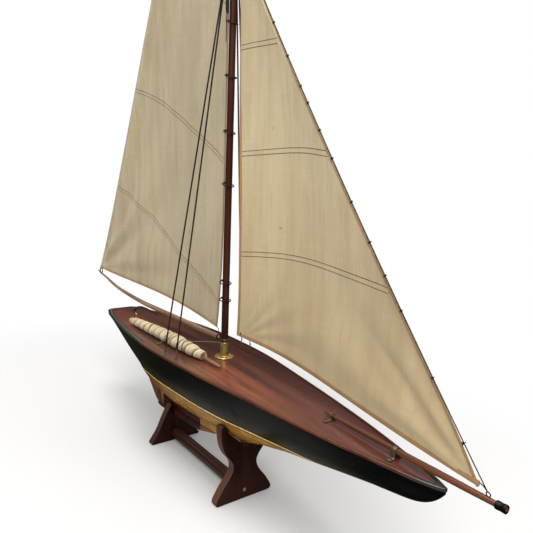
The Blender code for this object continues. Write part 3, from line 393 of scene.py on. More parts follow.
def stand_material():
    mat = Shading("stand_rosewood")
    figure = mat.noise(34.0, (1, 0.9, 0.10), detail=6.0, rough=0.55, distortion=1.2)
    pores = mat.noise(420.0, (1.4, 1.4, 0.04), detail=3.0, rough=0.6)
    drift = mat.noise(9.0, detail=3.0)
    color = mat.tint(srgb(22, 5, 3), srgb(44, 12, 6), by=figure, over=(0.30, 0.70))
    color = mat.tint(color, srgb(60, 22, 12), by=drift, over=(0.50, 0.78), amount=0.5)
    color = mat.tint(color, srgb(14, 4, 3), by=pores, over=(0.55, 0.70), amount=0.6)
    worn = mat.noise(160.0, detail=5.0)
    color = mat.tint(color, srgb(120, 92, 76), by=worn, over=(0.60, 0.72), amount=0.10)
    # the sawn edges of the boards are paler: partly rubbing, partly painted highlight
    facing = mat.split(mat.coord.outputs["Normal"])[0]
    sawn = mat.ramp(mat.math("ABSOLUTE", facing), over=(0.94, 0.60))
    edge_highlight_and_rubbing = mat.multiply(sawn, mat.ramp(drift, over=(0.25, 0.60), to=(0.35, 0.80)))
    color = mat.blend(edge_highlight_and_rubbing, color, srgb(92, 64, 48))
    mat.bump(mat.add(mat.multiply(pores, -0.5), figure), strength=0.12, distance=0.0006)
    gloss = mat.ramp(drift, over=(0.3, 0.7), to=(0.34, 0.50))
    return mat.finish(color, gloss, coat=0.08, coat_rough=0.18, specular=0.22)


STAND_WOOD_M = stand_material()
BAR_WOOD_M = wood("bar_rosewood", (36, 14, 8), (66, 32, 19), (96, 56, 36), grain=70.0,
                  rough=0.38, coat=0.30, coat_rough=0.14)


def above_waterline(mat, x, z, grime):
    """Height above the painted waterline, which is highest amidships and slightly uneven."""
    far = mat.math("POWER", mat.math("DIVIDE", x, 0.45), 2.0)
    near = mat.math("SUBTRACT", 1.0, far, clamp=True)
    above = mat.math("SUBTRACT", z, mat.math("MULTIPLY_ADD", near, 0.0025, 0.1780))
    return mat.add(above, mat.offset(grime, middle=0.5, scale=0.0006))


def paint_scheme(mat, x, z, grime):
    """Ochre bottom, gold waterline and black topsides as one colour."""
    mottle = mat.noise(9.0, (0.5, 1, 1.3), rough=0.55)
    specks = mat.noise(240.0, detail=3.0, rough=0.6)
    above = above_waterline(mat, x, z, grime)
    ochre = mat.tint(srgb(112, 78, 30), srgb(156, 116, 54), by=grime, over=(0.30, 0.72))
    ochre = mat.tint(ochre, srgb(92, 62, 26), by=mottle, over=(0.50, 0.72), amount=0.6)
    ochre = mat.tint(ochre, srgb(60, 38, 16), by=specks, over=(0.66, 0.74), amount=0.4)
    # a thin dark line just under the gold
    under = mat.multiply(mat.ramp(above, over=(-0.0046, -0.0036)),
                         mat.ramp(above, over=(-0.0018, -0.0024)))
    ochre = mat.blend(under, ochre, srgb(58, 40, 20))
    # painted reflection: the black topsides turn olive towards the waterline, where they reflect
    # the pale floor, and long lighter streaks stand in for their sheen
    streaks = mat.noise(60.0, (0.10, 1, 1), detail=3.0)
    black = mat.tint(srgb(46, 42, 22), srgb(4, 6, 8), by=above, over=(0.002, 0.040))
    black = mat.tint(black, srgb(24, 24, 15), by=streaks, over=(0.46, 0.72), amount=0.24)
    gold = mat.tint(srgb(226, 200, 138), srgb(184, 150, 90), by=specks, over=(0.45, 0.70))
    color = mat.tint(ochre, gold, by=above, over=(-0.0017, -0.0014))
    return mat.tint(color, black, by=above, over=(0.0014, 0.0017))


def abaft_lead_nose(mat, x, grime):
    """1 abaft x = 0, with an uneven edge."""
    return mat.ramp(mat.math("MULTIPLY_ADD", grime, 0.02, x), over=(0.004, -0.002))


def hull_material():
    mat = Shading("hull_enamel")
    x, y, z = mat.axes()
    grime = mat.noise(26.0, (0.35, 1, 1), detail=5.0, rough=0.6, distortion=0.4)
    color = paint_scheme(mat, x, z, grime)
    # dark red on the side of the after deadwood, above the lead
    off_centre = mat.math("ABSOLUTE", y)
    side = mat.multiply(abaft_lead_nose(mat, x, grime), mat.ramp(z, over=(0.1150, 0.1110)),
                        mat.ramp(off_centre, over=(0.0200, 0.0130)))
    wine = mat.tint(srgb(36, 9, 4), srgb(60, 18, 8), by=grime, over=(0.35, 0.70))
    color = mat.blend(side, color, wine)
    # painted shade: a dark line along the garboard corner
    corner_z = mat.ramp(x, over=(-0.10, 0.15), to=(0.1114, 0.1245), soft=False)
    from_corner = mat.math("ABSOLUTE", mat.math("SUBTRACT", z, corner_z))
    crease = mat.multiply(mat.ramp(from_corner, over=(0.0030, 0.0004)),
                          mat.ramp(off_centre, over=(0.020, 0.012)), 0.75)
    color = mat.blend(crease, color, srgb(44, 24, 12))
    waves = mat.noise(12.0, (0.30, 1, 1), detail=3.0)
    mat.bump(mat.math("MULTIPLY_ADD", grime, 0.12, waves), strength=0.10, distance=0.0020)
    gloss = mat.ramp(grime, over=(0.30, 0.75), to=(0.20, 0.32))
    return mat.finish(color, gloss, coat=0.09, coat_rough=0.06, specular=0.14)


def lead_material():
    mat = Shading("painted_lead")
    x = mat.axes()[0]
    grime = mat.noise(30.0, (0.6, 1, 1), detail=5.0, rough=0.6, distortion=0.5)
    dents = mat.noise(120.0, rough=0.55)
    color = mat.tint(srgb(84, 58, 28), srgb(124, 92, 46), by=grime, over=(0.30, 0.70))
    # abaft the fore end of the lead its sides are as dark red as the deadwood's side above them
    wine = mat.tint(srgb(34, 10, 5), srgb(58, 20, 9), by=grime, over=(0.35, 0.70))
    color = mat.blend(abaft_lead_nose(mat, x, grime), color, wine)
    color = mat.tint(color, srgb(52, 34, 20), by=dents, over=(0.60, 0.72), amount=0.5)
    mat.bump(mat.add(grime, dents), strength=0.25, distance=0.0012)
    gloss = mat.ramp(dents, over=(0.3, 0.7), to=(0.38, 0.60))
    return mat.finish(color, gloss, coat=0.10, coat_rough=0.2)


def post_material():
    """Mahogany whose forward corner was caught by the bottom paint."""
    mat = Shading("sternpost_mahogany")
    x, _, z = mat.axes()
    figure = mat.noise(70.0, (1, 1, 0.06), detail=6.0, rough=0.55, distortion=0.8)
    drift = mat.noise(40.0)
    color = mat.tint(srgb(62, 37, 28), srgb(98, 66, 53), by=figure, over=(0.30, 0.70))
    painted = mat.add(x, mat.offset(z, middle=0.10, scale=0.55),
                      mat.offset(drift, middle=0.5, scale=0.010))
    color = mat.tint(color, srgb(136, 98, 44), by=painted, over=(-0.2160, -0.2130))
    mat.bump(figure, strength=0.2, distance=0.0006)
    return mat.finish(color, 0.40, coat=0.3, coat_rough=0.15)


def blade_material():
    mat = Shading("rudder_mahogany")
    x = mat.axes()[0]
    figure = mat.noise(70.0, (1, 1, 0.08), detail=6.0, rough=0.55, distortion=1.0)
    pores = mat.noise(500.0, (1.5, 1.5, 0.05), detail=3.0, rough=0.6)
    color = mat.tint(srgb(70, 39, 26), srgb(112, 72, 50), by=figure, over=(0.30, 0.70))
    color = mat.tint(color, srgb(60, 30, 18), by=pores, over=(0.52, 0.68), amount=0.4)
    tip = mat.add(x, mat.multiply(mat.noise(50.0), 0.02))
    color = mat.tint(color, srgb(40, 22, 16), by=tip, over=(-0.3060, -0.3220))
    mat.bump(figure, strength=0.2, distance=0.0006)
    return mat.finish(color, 0.38, coat=0.35, coat_rough=0.15)


def edge_material():
    """Red-brown edging, black where the topside enamel was carried over it at the stern."""
    mat = Shading("edge_mahogany")
    x = mat.axes()[0]
    figure = mat.noise(60.0, (0.05, 1, 1), detail=6.0, rough=0.55, distortion=0.6)
    wear = mat.noise(46.0, (0.4, 1, 1), rough=0.6)
    color = mat.tint(srgb(60, 29, 18), srgb(94, 50, 32), by=figure, over=(0.30, 0.70))
    color = mat.tint(color, srgb(44, 20, 13), by=wear, over=(0.58, 0.72), amount=0.5)
    edge = mat.add(x, mat.offset(wear, middle=0.5, scale=0.05))
    bow = mat.multiply(mat.ramp(edge, over=(0.560, 0.580)), 0.8)
    black = mat.math("MAXIMUM", mat.ramp(edge, over=(-0.128, -0.140)), bow)
    color = mat.blend(black, color, srgb(40, 46, 42))
    mat.bump(figure, strength=0.15, distance=0.0006)
    return mat.finish(color, 0.32, coat=0.40, coat_rough=0.10)


def canvas_material(name, base, shade, spotted=True, darker_foot=False):
    mat = Shading(name)
    base, shade = srgb(*base), srgb(*shade)
    weaves = []
    for direction in "XZ":
        weave = mat.new("ShaderNodeTexWave", wave_type="BANDS", bands_direction=direction)
        weave.inputs["Scale"].default_value = 420.0
        weave.inputs["Distortion"].default_value = 1.2
        mat.link(mat.place, weave.inputs["Vector"])
        weaves.append(weave.outputs[1])
    cloud = mat.noise(7.0, (1, 1, 0.35), rough=0.55, distortion=0.3)
    streak = mat.noise(46.0, (1, 1, 0.05), rough=0.55)
    thread = mat.noise(900.0, (1, 1, 0.15), detail=2.0)
    upright = mat.noise(150.0, (1, 1, 0.06), detail=3.0, rough=0.6)
    level = mat.noise(130.0, (0.08, 1, 1), detail=3.0, rough=0.6)
    color = mat.tint(base, shade, by=cloud, over=(0.30, 0.72))
    for other, mask, over, amount in (
            (shaded(shade, 0.80), streak, (0.42, 0.72), 0.42),
            (shaded(shade, 0.70), upright, (0.50, 0.72), 0.28),
            (shaded(base, 1.25), level, (0.54, 0.74), 0.16),
            (shaded(shade, 0.6), thread, (0.40, 0.70), 0.10)):
        color = mat.tint(color, other, mask, over, amount)
    if darker_foot:
        # darker and warmer towards the foot than at the head
        height = mat.axes()[2]
        color = mat.tint(color, srgb(158, 128, 92), by=height, over=(0.95, 0.34), amount=0.26)
    if spotted:
        spots = mat.noise(62.0, (1, 1, 0.9), detail=2.0, rough=0.4, shift=(3.1, 0.7, 1.9))
        color = mat.tint(color, srgb(104, 76, 44), by=spots, over=(0.750, 0.785), amount=0.50)
        faint = mat.noise(14.0, (1, 1, 0.8), detail=2.0, rough=0.4, shift=(1.4, 0.2, 4.2))
        color = mat.tint(color, srgb(142, 118, 78), by=faint, over=(0.66, 0.78), amount=0.22)
    mat.bump(mat.add(*weaves, mat.multiply(thread, 0.8)), strength=0.10, distance=0.0004)
    return mat.finish(color, 0.92, sheen=0.15)


def metal_material(name, bright, dull_and_sheen, scale, over, bump, gloss, metal, brushed=False):
    """Metal that turns dull in patches; over is the patch range, gloss the roughness range."""
    mat = Shading(name)
    patches = mat.noise(scale, detail=5.0, rough=0.6, distortion=0.5 if brushed else 0.0)
    height = patches
    if brushed:
        rub = mat.noise(600.0, (1, 1, 0.1), detail=2.0)
        height = mat.add(patches, mat.multiply(rub, 0.4))
    color = mat.tint(srgb(*bright), srgb(*dull_and_sheen), by=patches, over=over)
    mat.bump(height, strength=bump, distance=0.0004)
    return mat.finish(color, mat.ramp(patches, over=(0.35, 0.70), to=gloss), metal=metal)


def cord_material(name, first, second, rough=0.85):
    mat = Shading(name)
    fluff = mat.noise(700.0, detail=3.0, rough=0.6)
    color = mat.tint(srgb(*first), srgb(*second), by=fluff, over=(0.35, 0.70))
    mat.bump(fluff, strength=0.4, distance=0.0003)
    return mat.finish(color, rough)


HULL_M, LEAD_M, POST_M = hull_material(), lead_material(), post_material()
BLADE_M, EDGE_M = blade_material(), edge_material()
CANVAS_M = canvas_material("old_canvas", (168, 154, 123), (150, 136, 106))
# the jib's canvas is a lighter copy of the main's: painted light for the stronger light the jib
# catches
JIB_LIT_M = canvas_material("old_canvas_jib_lit", (180, 165, 132), (162, 145, 112), darker_foot=True)
HEM_M = canvas_material("leech_hem", (158, 152, 132), (144, 137, 114))
TAPE_M = canvas_material("edge_tape", (150, 118, 76), (130, 99, 60), spotted=False)


def roll_material():
    """Canvas wound in a spiral: painted shade darkens each turn into a crease at the next one, and
    a painted highlight lightens its lip.
    """
    mat = Shading("rolled_canvas")
    x, y, z = mat.axes()
    # the roll's centre line, and the turn round it
    centre_y = mat.ramp(x, over=(-0.09, 0.068), to=(-0.0562, -0.0490), soft=False)
    rise = mat.ramp(x, over=(-0.279, -0.110), to=(0.2775, 0.2856), soft=False)
    drop = mat.ramp(x, over=(0.0, 0.068), to=(0.0, 0.0043), soft=False)
    centre_z = mat.math("SUBTRACT", rise, drop)
    angle = mat.math("ARCTAN2", mat.math("SUBTRACT", z, centre_z),
                     mat.math("SUBTRACT", y, centre_y))
    turn = mat.math("DIVIDE", angle, TAU)
    ripple = mat.noise(26.0, detail=3.0)
    phase = mat.add(mat.math("DIVIDE", mat.add(x, 0.279), 0.0285), turn)
    phase = mat.math("FRACT", mat.add(phase, mat.math("MULTIPLY_ADD", ripple, 0.10, 3.95)))
    shade = mat.math("MAXIMUM", mat.ramp(phase, over=(0.62, 0.98)),
                     mat.ramp(phase, over=(0.05, 0.0)))
    lip = mat.multiply(mat.ramp(phase, over=(0.04, 0.08)), mat.ramp(phase, over=(0.26, 0.12)))
    cloud = mat.noise(30.0, (0.5, 1, 1), rough=0.6)
    thread = mat.noise(800.0, detail=2.0)
    color = mat.tint(srgb(196, 180, 148), srgb(172, 154, 124), by=cloud, over=(0.30, 0.72))
    # painted highlight on each turn's lip, then painted shade into the crease
    color = mat.blend(mat.multiply(lip, 0.7), color, srgb(222, 208, 176))
    color = mat.blend(mat.multiply(shade, 0.90), color, srgb(88, 68, 46))
    color = mat.tint(color, srgb(110, 92, 70), by=thread, over=(0.40, 0.70), amount=0.15)
    mat.bump(mat.add(cloud, mat.multiply(thread, 0.3)), strength=0.35, distance=0.0010)
    return mat.finish(color, 0.92, sheen=0.10)


ROLL_M = roll_material()
BRASS_M = metal_material("old_brass", (200, 174, 104), (118, 92, 48), scale=90.0,
                         over=(0.42, 0.72), bump=0.15, gloss=(0.24, 0.48), metal=0.75,
                         brushed=True)
IRON_M = metal_material("blackened_iron", (14, 14, 15), (46, 36, 30), scale=140.0,
                        over=(0.50, 0.72), bump=0.35, gloss=(0.38, 0.62), metal=0.6)
BRONZE_M = metal_material("dull_bronze", (126, 118, 96), (74, 64, 48), scale=160.0,
                          over=(0.42, 0.70), bump=0.30, gloss=(0.32, 0.55), metal=0.8)
BLACK_CORD_M = cord_material("black_cord", (10, 10, 12), (26, 24, 27))
SEAM_M = cord_material("seam_thread", (84, 70, 50), (108, 91, 68), rough=0.9)
PALE_CORD_M = cord_material("flax_cord", (140, 116, 78), (104, 82, 54), rough=0.9)
INLAY_M = cord_material("dark_inlay", (20, 19, 19), (36, 32, 31), rough=0.35)
# black enamel coloured grey-green: painted reflection
MARGIN_SHEEN_M = cord_material("margin_enamel_and_sheen", (70, 77, 70), (104, 112, 102), rough=0.30)


# ================================================================ objects
def make(name, shape, material=None, sharp=40, collection=home):
    """An object from (vertices, faces), smooth except at edges over 'sharp' degrees."""
    verts, faces = shape
    mesh = bpy.data.meshes.new(name)
    mesh.from_pydata([tuple(v) for v in verts], [], faces)
    work = bmesh.new()
    work.from_mesh(mesh)
    bmesh.ops.recalc_face_normals(work, faces=work.faces)
    work.to_mesh(mesh)
    work.free()
    mesh.shade_smooth()
    mesh.set_sharp_from_angle(angle=math.radians(sharp))
    obj = bpy.data.objects.new(name, mesh)
    collection.objects.link(obj)
    if material is not None:
        mesh.materials.append(material)
    return obj


def bake(obj, sharp=40):
    """Replaces a piece's mesh with its evaluated one."""
    bpy.context.view_layer.update()
    graph = bpy.context.evaluated_depsgraph_get()
    mesh = bpy.data.meshes.new_from_object(obj.evaluated_get(graph))
    old = obj.data
    obj.modifiers.clear()
    obj.data = mesh
    mesh.name = obj.name
    bpy.data.meshes.remove(old)
    mesh.shade_smooth()
    mesh.set_sharp_from_angle(angle=math.radians(sharp))
    return obj


def cutter(shape):
    return make("cutter", shape, collection=workshop)


def cut(obj, *tools):
    for tool in tools:
        boolean = obj.modifiers.new("cut", "BOOLEAN")
        boolean.operation = "DIFFERENCE"
        boolean.solver = "EXACT"
        boolean.object = tool
    return obj


def settle(obj, body, slot, *nodes):
    """Carries a finished piece to the frame."""
    obj.matrix_world = SHIFT @ obj.matrix_world
    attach(obj, body)
    if nodes:
        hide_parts(*nodes)


def add(name, shape, material, body, slot, *nodes, sharp=40, tools=()):
    """Makes a piece, cuts it with the tools and settles it."""
    obj = make(name, shape, material, sharp)
    if tools:
        bake(cut(obj, *tools), sharp)
    settle(obj, body, slot, *nodes)


# ================================================================ shapes
def join_parts(parts):
    """One vertex and face list from several."""
    verts, faces = [], []
    for part_verts, part_faces in parts:
        base = len(verts)
        verts += list(part_verts)
        faces += [tuple(i + base for i in face) for face in part_faces]
    return verts, faces


def strip(rings, closed=False):
    """Quads between rings of equal length; closed joins the last ring to the first."""
    sides, faces = len(rings[0]), []
    for k in range(len(rings) if closed else len(rings) - 1):
        here, ahead = k * sides, (k + 1) % len(rings) * sides
        for i in range(sides):
            j = (i + 1) % sides
            faces.append((here + i, here + j, ahead + j, ahead + i))
    return [v for ring in rings for v in ring], faces


def solid(rings):
    """A strip with both ends closed."""
    verts, faces = strip(rings)
    sides = len(rings[0])
    faces.append(tuple(range(sides)))
    faces.append(tuple(reversed(range(len(verts) - sides, len(verts)))))
    return verts, faces


def mirrored(x, half):
    """A ring at x from the (y, z) rows of its port half."""
    return [Vector((x, y, z)) for y, z in half] + [Vector((x, -y, z)) for y, z in reversed(half)]


def travelled(points):
    """The distance travelled at each point."""
    total = [0.0]
    for here, ahead in zip(points, points[1:]):
        total.append(total[-1] + (ahead - here).length)
    return total


def resample(rows, count):
    """Evenly spaced rows on a smooth curve through the given (x, y, z, radius) rows."""
    total = travelled([Vector(row[:3]) for row in rows])
    table = [(way, *row) for way, row in zip(total, rows)]
    fits = [spline(table, column) for column in (1, 2, 3, 4)]
    return [tuple(fit(total[-1] * i / (count - 1)) for fit in fits) for i in range(count)]


def tube_rings(rows, sides, closed=False, shape=None):
    """Rings round (x, y, z, radius) rows, and the direction at each.

    shape(angle, distance, radius) may vary the radius.
    """
    points = [Vector(row[:3]) for row in rows]
    count = len(points)
    runs = []
    for i in range(count):
        before = points[(i - 1) % count] if closed or i > 0 else points[0]
        after = points[(i + 1) % count] if closed or i < count - 1 else points[-1]
        runs.append((after - before).normalized())
    side = ACROSS if abs(runs[0].y) < 0.9 else Vector((1, 0, 0))
    rings, distance = [], 0.0
    for i, run in enumerate(runs):
        if i:
            distance += (points[i] - points[i - 1]).length
        side = (side - run * side.dot(run)).normalized()
        other = run.cross(side).normalized()
        ring = []
        for k in range(sides):
            angle = TAU * k / sides
            radius = rows[i][3]
            if shape:
                radius = shape(angle, distance, radius)
            ring.append(points[i] + (side * math.cos(angle) + other * math.sin(angle)) * radius)
        rings.append(ring)
    return rings, runs


def sweep(rows, sides=16, closed=False, shape=None):
    """A round bar along (x, y, z, radius) rows, with domed ends unless it is closed."""
    rings, runs = tube_rings(rows, sides, closed, shape)
    if closed:
        return strip(rings, closed=True)

    def dome(i, direction):
        out, point = [], Vector(rows[i][:3])
        for step in (0.38, 0.70, 0.92):
            shrink, push = math.cos(step * math.pi / 2), math.sin(step * math.pi / 2)
            middle = point + direction * rows[i][3] * push * 0.8
            out.append([middle + (v - point) * shrink for v in rings[i]])
        return out

    return solid(dome(0, -runs[0])[::-1] + rings + dome(-1, runs[-1]))


def curve(rows, count, sides=16):
    return sweep(resample(rows, count), sides)


def loop(center, radius, wire, count, normal=ACROSS, sides=8, tilt=None):
    """A wire ring square to the normal, or round Z with its forward side dropped by a tilt."""
    if tilt is None:
        turn = Vector(normal).to_track_quat("Z", "Y")
    else:
        turn = Matrix.Rotation(math.radians(tilt), 3, "Y")
    rows = []
    for k in range(count):
        angle = TAU * k / count
        arm = Vector((radius * math.cos(angle), radius * math.sin(angle), 0))
        rows.append((*(Vector(center) + turn @ arm), wire))
    return sweep(rows, sides, closed=True)


def lathe(profile, steps, matrix, closed=False):
    """A shape turned about Z from (radius, height) rows; closed joins the last row to the first.

    Rows on the axis give a single vertex.
    """
    verts, index = [], {}
    for step in range(steps):
        angle = TAU * step / steps
        for row, (radius, z) in enumerate(profile):
            key = (step if radius else 0, row)
            if key not in index:
                index[key] = len(verts)
                place = Vector((radius * math.cos(angle), radius * math.sin(angle), z))
                verts.append(matrix @ place)
            index[step, row] = index[key]
    faces, count = [], len(profile)
    for step in range(steps):
        turn = (step + 1) % steps
        for row in range(count if closed else count - 1):
            below = (row + 1) % count
            corners = ((step, row), (turn, row), (turn, below), (step, below))
            face = tuple(dict.fromkeys(index[corner] for corner in corners))
            if len(face) > 2:
                faces.append(face)
    return verts, faces


def along(start, end):
    """Places a turned shape so that its Z runs from start towards end."""
    run = (Vector(end) - Vector(start)).normalized()
    return Matrix.Translation(start) @ run.to_track_quat("Z", "Y").to_matrix().to_4x4()


def rod(length, radius):
    """The profile of a plain cylinder."""
    return [(0, 0), (radius, 0), (radius, length), (0, length)]


def bore(start, end, radius, sides=32):
    """A cylindrical cutter."""
    start, end = Vector(start), Vector(end)
    return cutter(lathe(rod((end - start).length, radius), sides, along(start, end)))


def box_cutter(center, *half_sides):
    signs = (-1, 1)
    first, second, third = half_sides
    verts = [center + first * i + second * j + third * k
             for i in signs for j in signs for k in signs]
    return cutter((verts, [(0, 1, 3, 2), (4, 6, 7, 5), (0, 4, 5, 1), (2, 3, 7, 6), (0, 2, 6, 4),
                           (1, 5, 7, 3)]))


def soften(outline, corner, step=0.0016):
    """Fills a closed outline with smooth curves.

    Curves stop at corners that turn by more than 'corner' degrees and at sides over 40 mm.
    """
    points = [Vector(point) for point in outline]
    count = len(points)
    starts = []
    for i in range(count):
        before, after = points[i] - points[i - 1], points[(i + 1) % count] - points[i]
        turn = math.degrees(abs(before.angle_signed(after, 0.0)))
        if turn > corner or before.length > 0.040 or after.length > 0.040:
            starts.append(i)
    out = []
    for start, end in zip(starts, starts[1:] + [starts[0] + count]):
        run = [points[i % count] for i in range(start, end + 1)]
        if len(run) < 3:
            out.append(tuple(run[0]))
            continue
        total = travelled(run)
        table = [(way, *point) for way, point in zip(total, run)]
        fits = [spline(table, 1), spline(table, 2)]
        steps = max(2, int(total[-1] / step))
        out += [tuple(fit(total[-1] * k / steps) for fit in fits) for k in range(steps)]
    return out


def board(name, outline, axis, low, high, material, bevel, segments=3, angle=60):
    """An outline in the plane across 'axis' (x or y), with a bevel still to be baked."""
    verts = [Vector((level, side, z) if axis == "x" else (side, level, z))
             for level in (low, high) for side, z in outline]
    count = len(outline)
    faces = [tuple(range(count)), tuple(range(2 * count - 1, count - 1, -1))]
    faces += [(i, (i + 1) % count, count + (i + 1) % count, count + i) for i in range(count)]
    obj = make(name, (verts, faces), material)
    rounding = obj.modifiers.new("rounding", "BEVEL")
    rounding.width = bevel
    rounding.segments = segments
    rounding.limit_method = "ANGLE"
    rounding.angle_limit = math.radians(angle)
    rounding.harden_normals = False
    return obj


def spaced(start, end, count, *exact):
    """Stations from start to end, closer near both ends, that include the exact ones."""
    xs = [start + (end - start) * 0.5 * (1 - math.cos(math.pi * k / count)) * 0.45
          + (end - start) * (k / count) * 0.55 for k in range(count + 1)]
    xs = sorted(set([round(x, 6) for x in xs] + list(exact)))
    keep = [xs[0]]
    for x in xs[1:]:
        if x - keep[-1] > 0.0012 or x in exact:
            crowded = x in exact and x - keep[-1] < 0.0008
            if crowded and keep[-1] not in exact and len(keep) > 1:
                keep.pop()
            keep.append(x)
    return keep


# ================================================================ hull
stations = {x for x in spaced(STERN_X, STEM_X, 150, KEEL_AFT, KEEL_FORE)
            if abs(x - KEEL_AFT) > 0.0015 or x == KEEL_AFT}
stations = sorted(stations | {KEEL_AFT - 0.0004, STEM_X})


def hollow_ring(x):
    """The inside of the hull at x, open above the sheer."""
    wide = max(0.004, half_beam(x) - SHELL)
    low, high, power = bottom(x) + 0.0125, sheer(x), max(0.50, fullness(x))
    rows = [(0.0035, low)]
    for k in range(1, 11):
        part = (k / 10) ** 1.5
        rows.append((0.0035 + (wide - 0.0035) * part ** power, low + (high - low) * part))
    rows.append((wide, high + 0.03))
    return mirrored(x, rows)


def trunk_bore(depth):
    return bore(RUDDER_HEAD - STOCK_DOWN * 0.03, RUDDER_HEAD + STOCK_DOWN * depth, TRUNK_R + GAP)


cavity = cutter(solid([hollow_ring(-0.455 + 0.975 * k / 34) for k in range(35)]))
bolt_bores = [bore((x, 0, 0.040), (x, 0, 0.150), 0.0023, 20) for x in (-0.060, -0.160)]
add("hull", solid([mirrored(x, section(x, 26)) for x in stations]), HULL_M,
    "yacht", "hull_paint", "hull_shell", sharp=38, tools=[cavity, trunk_bore(0.165), *bolt_bores])


def lead_ring(x):
    low, high = keel_line(x), lead_top(x) - GAP
    nose = smooth((x - (LEAD_NOSE - 0.006)) / 0.006)
    half = keel_half(x) * (1.0 - 0.35 * nose)
    low += 0.0006 * nose
    radius = min(0.0042, (high - low) * 0.6)
    rows = [(half * 0.30, low)]
    for k in range(1, 7):
        angle = math.pi / 2 * k / 6
        rows.append((mix(half * 0.42, half, math.sin(angle)),
                     low + radius * (1 - math.cos(angle))))
    return mirrored(x, rows + [(half, high - 0.0006), (half - 0.0004, high)])


lead_x = [KEEL_AFT + 0.0004]
lead_x += [mix(KEEL_AFT + 0.004, LEAD_NOSE - 0.006, k / 46) for k in range(47)]
lead_x += [LEAD_NOSE - 0.004, LEAD_NOSE - 0.002, LEAD_NOSE]
add("lead_ballast", solid([lead_ring(x) for x in lead_x]), LEAD_M, "yacht", "lead", "lead_keel",
    tools=bolt_bores)

# sternpost, between the keel and the rudder stock
post_foot = RUDDER_HEEL + STOCK_AHEAD * (STOCK_R + 0.0016)
outline = [(POST_X, SHOE_TOP + GAP), (POST_X, bottom(-0.197) - 0.0012)]
for k in range(1, 15):
    x = -0.197 - 0.065 * k / 14
    outline.append((x, bottom(x) - 0.0012))
for rise in (0.105, 0.070, 0.035, (SHOE_TOP + GAP - post_foot.z) / -STOCK_DOWN.z):
    point = post_foot - STOCK_DOWN * rise
    if point.z < bottom(point.x) - 0.0010:
        outline.append((point.x, point.z))
post = bake(board("stern_post", outline, "y", -0.0060, 0.0060, POST_M, bevel=0.0012))
settle(post, "yacht", "rudder_wood", "sternpost")

# shoe under the rudder
SHOE = ((POST_X, SHOE_TOP - 0.0042), (-0.2340, SHOE_TOP - 0.0030), (-0.2375, SHOE_TOP - 0.0012),
        (-0.2360, SHOE_TOP), (POST_X, SHOE_TOP))  # x, z
shoe = board("heel_shoe", soften(SHOE, corner=30), "y", -0.0042, 0.0042, LEAD_M, bevel=0.0007)
cut(shoe, bore(RUDDER_HEEL - STOCK_DOWN * 0.02, RUDDER_HEEL + STOCK_DOWN * 0.02, STOCK_R + GAP,
               28))
settle(bake(shoe), "yacht", "lead", "rudder_shoe")

# ================================================================ deck
deck_x = spaced(-0.4872, 0.5945, 110)
SCREW_Y = 0.0145  # screws of the mast tube, either side of the mast


def deck_ring(x, count=22):
    half = half_beam(x) - GUNWALE_W - GAP
    upper, lower = [], []
    for k in range(count + 1):
        y = half * (1 - 2 * k / count)
        ease = 0.0005 * smooth(1 - (half - abs(y)) / 0.0012)
        upper.append(Vector((x, y, deck_top(x, y) - ease)))
        y = half * (2 * k / count - 1)
        lower.append(Vector((x, y, sheer(x) + GAP + camber(x, y))))
    return upper + lower


screw_bores = [bore((MAST_X, y, 0.255), (MAST_X, y, 0.300), 0.0016, 16)
               for y in (SCREW_Y, -SCREW_Y)]
mast_bore = bore((MAST_X, 0, 0.235), (MAST_X, 0, 0.300), 0.0088, 40)
add("deck_board", solid([deck_ring(x) for x in deck_x]), DECK_WOOD_M, "yacht", "deck_wood",
    "deck", sharp=35, tools=[mast_bore, trunk_bore(0.04), *screw_bores])


# the dark line let into the deck, round the stern and along both sides
def inlay_row(x, y):
    return x, y, deck_top(x, y) + 0.00002, 0.00085


inlay_port, inlay_starboard = [], []
for side, path in ((1, inlay_port), (-1, inlay_starboard)):
    for k in range(90):
        x = -0.462 + 0.330 * k / 89
        inset = half_beam(x) - 0.0088 - 0.0022 * smooth((-0.36 - x) / 0.08)
        path.append(inlay_row(x, side * inset))
stern_arc = []
for k in range(1, 24):
    angle = math.pi * k / 24
    stern_arc.append(inlay_row(-0.462 - 0.0135 * math.sin(angle) ** 0.8,
                               inlay_port[0][1] * math.cos(angle)))
add("deck_inlay_line", sweep(inlay_port[::-1] + stern_arc + inlay_starboard, 8), INLAY_M,
    "yacht", "dark_iron")


# the outer rim of the after deck, painted with the topside enamel; its grey-green colour is
# painted reflection of the sky
def margin_ring(x, side):
    outer = half_beam(x) - GUNWALE_W - GAP - 0.0002
    wide = mix(0.0034, 0.0060, smooth((-0.40 - x) / 0.08)) \
        * smooth((-0.1380 - x) / 0.020 + 0.05)
    ring = []
    # part of the width inwards, height over the deck
    for part, lift in ((0.0, 0.00022), (0.5, 0.00022), (1.0, 0.00012),
                       (1.0, -0.0008), (0.5, -0.0008), (0.0, -0.0008)):
        y = side * (outer - wide * part)
        ring.append(Vector((x, y, deck_top(x, y) + lift)))
    return ring


margin = [solid([margin_ring(mix(-0.4868, -0.1380, k / 90), side) for k in range(91)])
          for side in (1, -1)]
add("deck_margin_paint_and_sheen", join_parts(margin), MARGIN_SHEEN_M, "yacht", "dark_iron", sharp=35)


# gunwale moulding with a rounded outer edge
def rail_ring(x):
    wide, low, high = half_beam(x) + 0.0008, sheer(x) + GAP, sheer(x) + GUNWALE_H
    radius = min(0.0022, wide * 0.35)
    half = [(wide - radius * 0.35, low), (wide, low + radius * 0.35)]
    for k in range(6):
        angle = math.pi / 2 * k / 5
        half.append((wide - radius + radius * math.cos(angle),
                     high - radius + radius * math.sin(angle)))
    return mirrored(x, half)


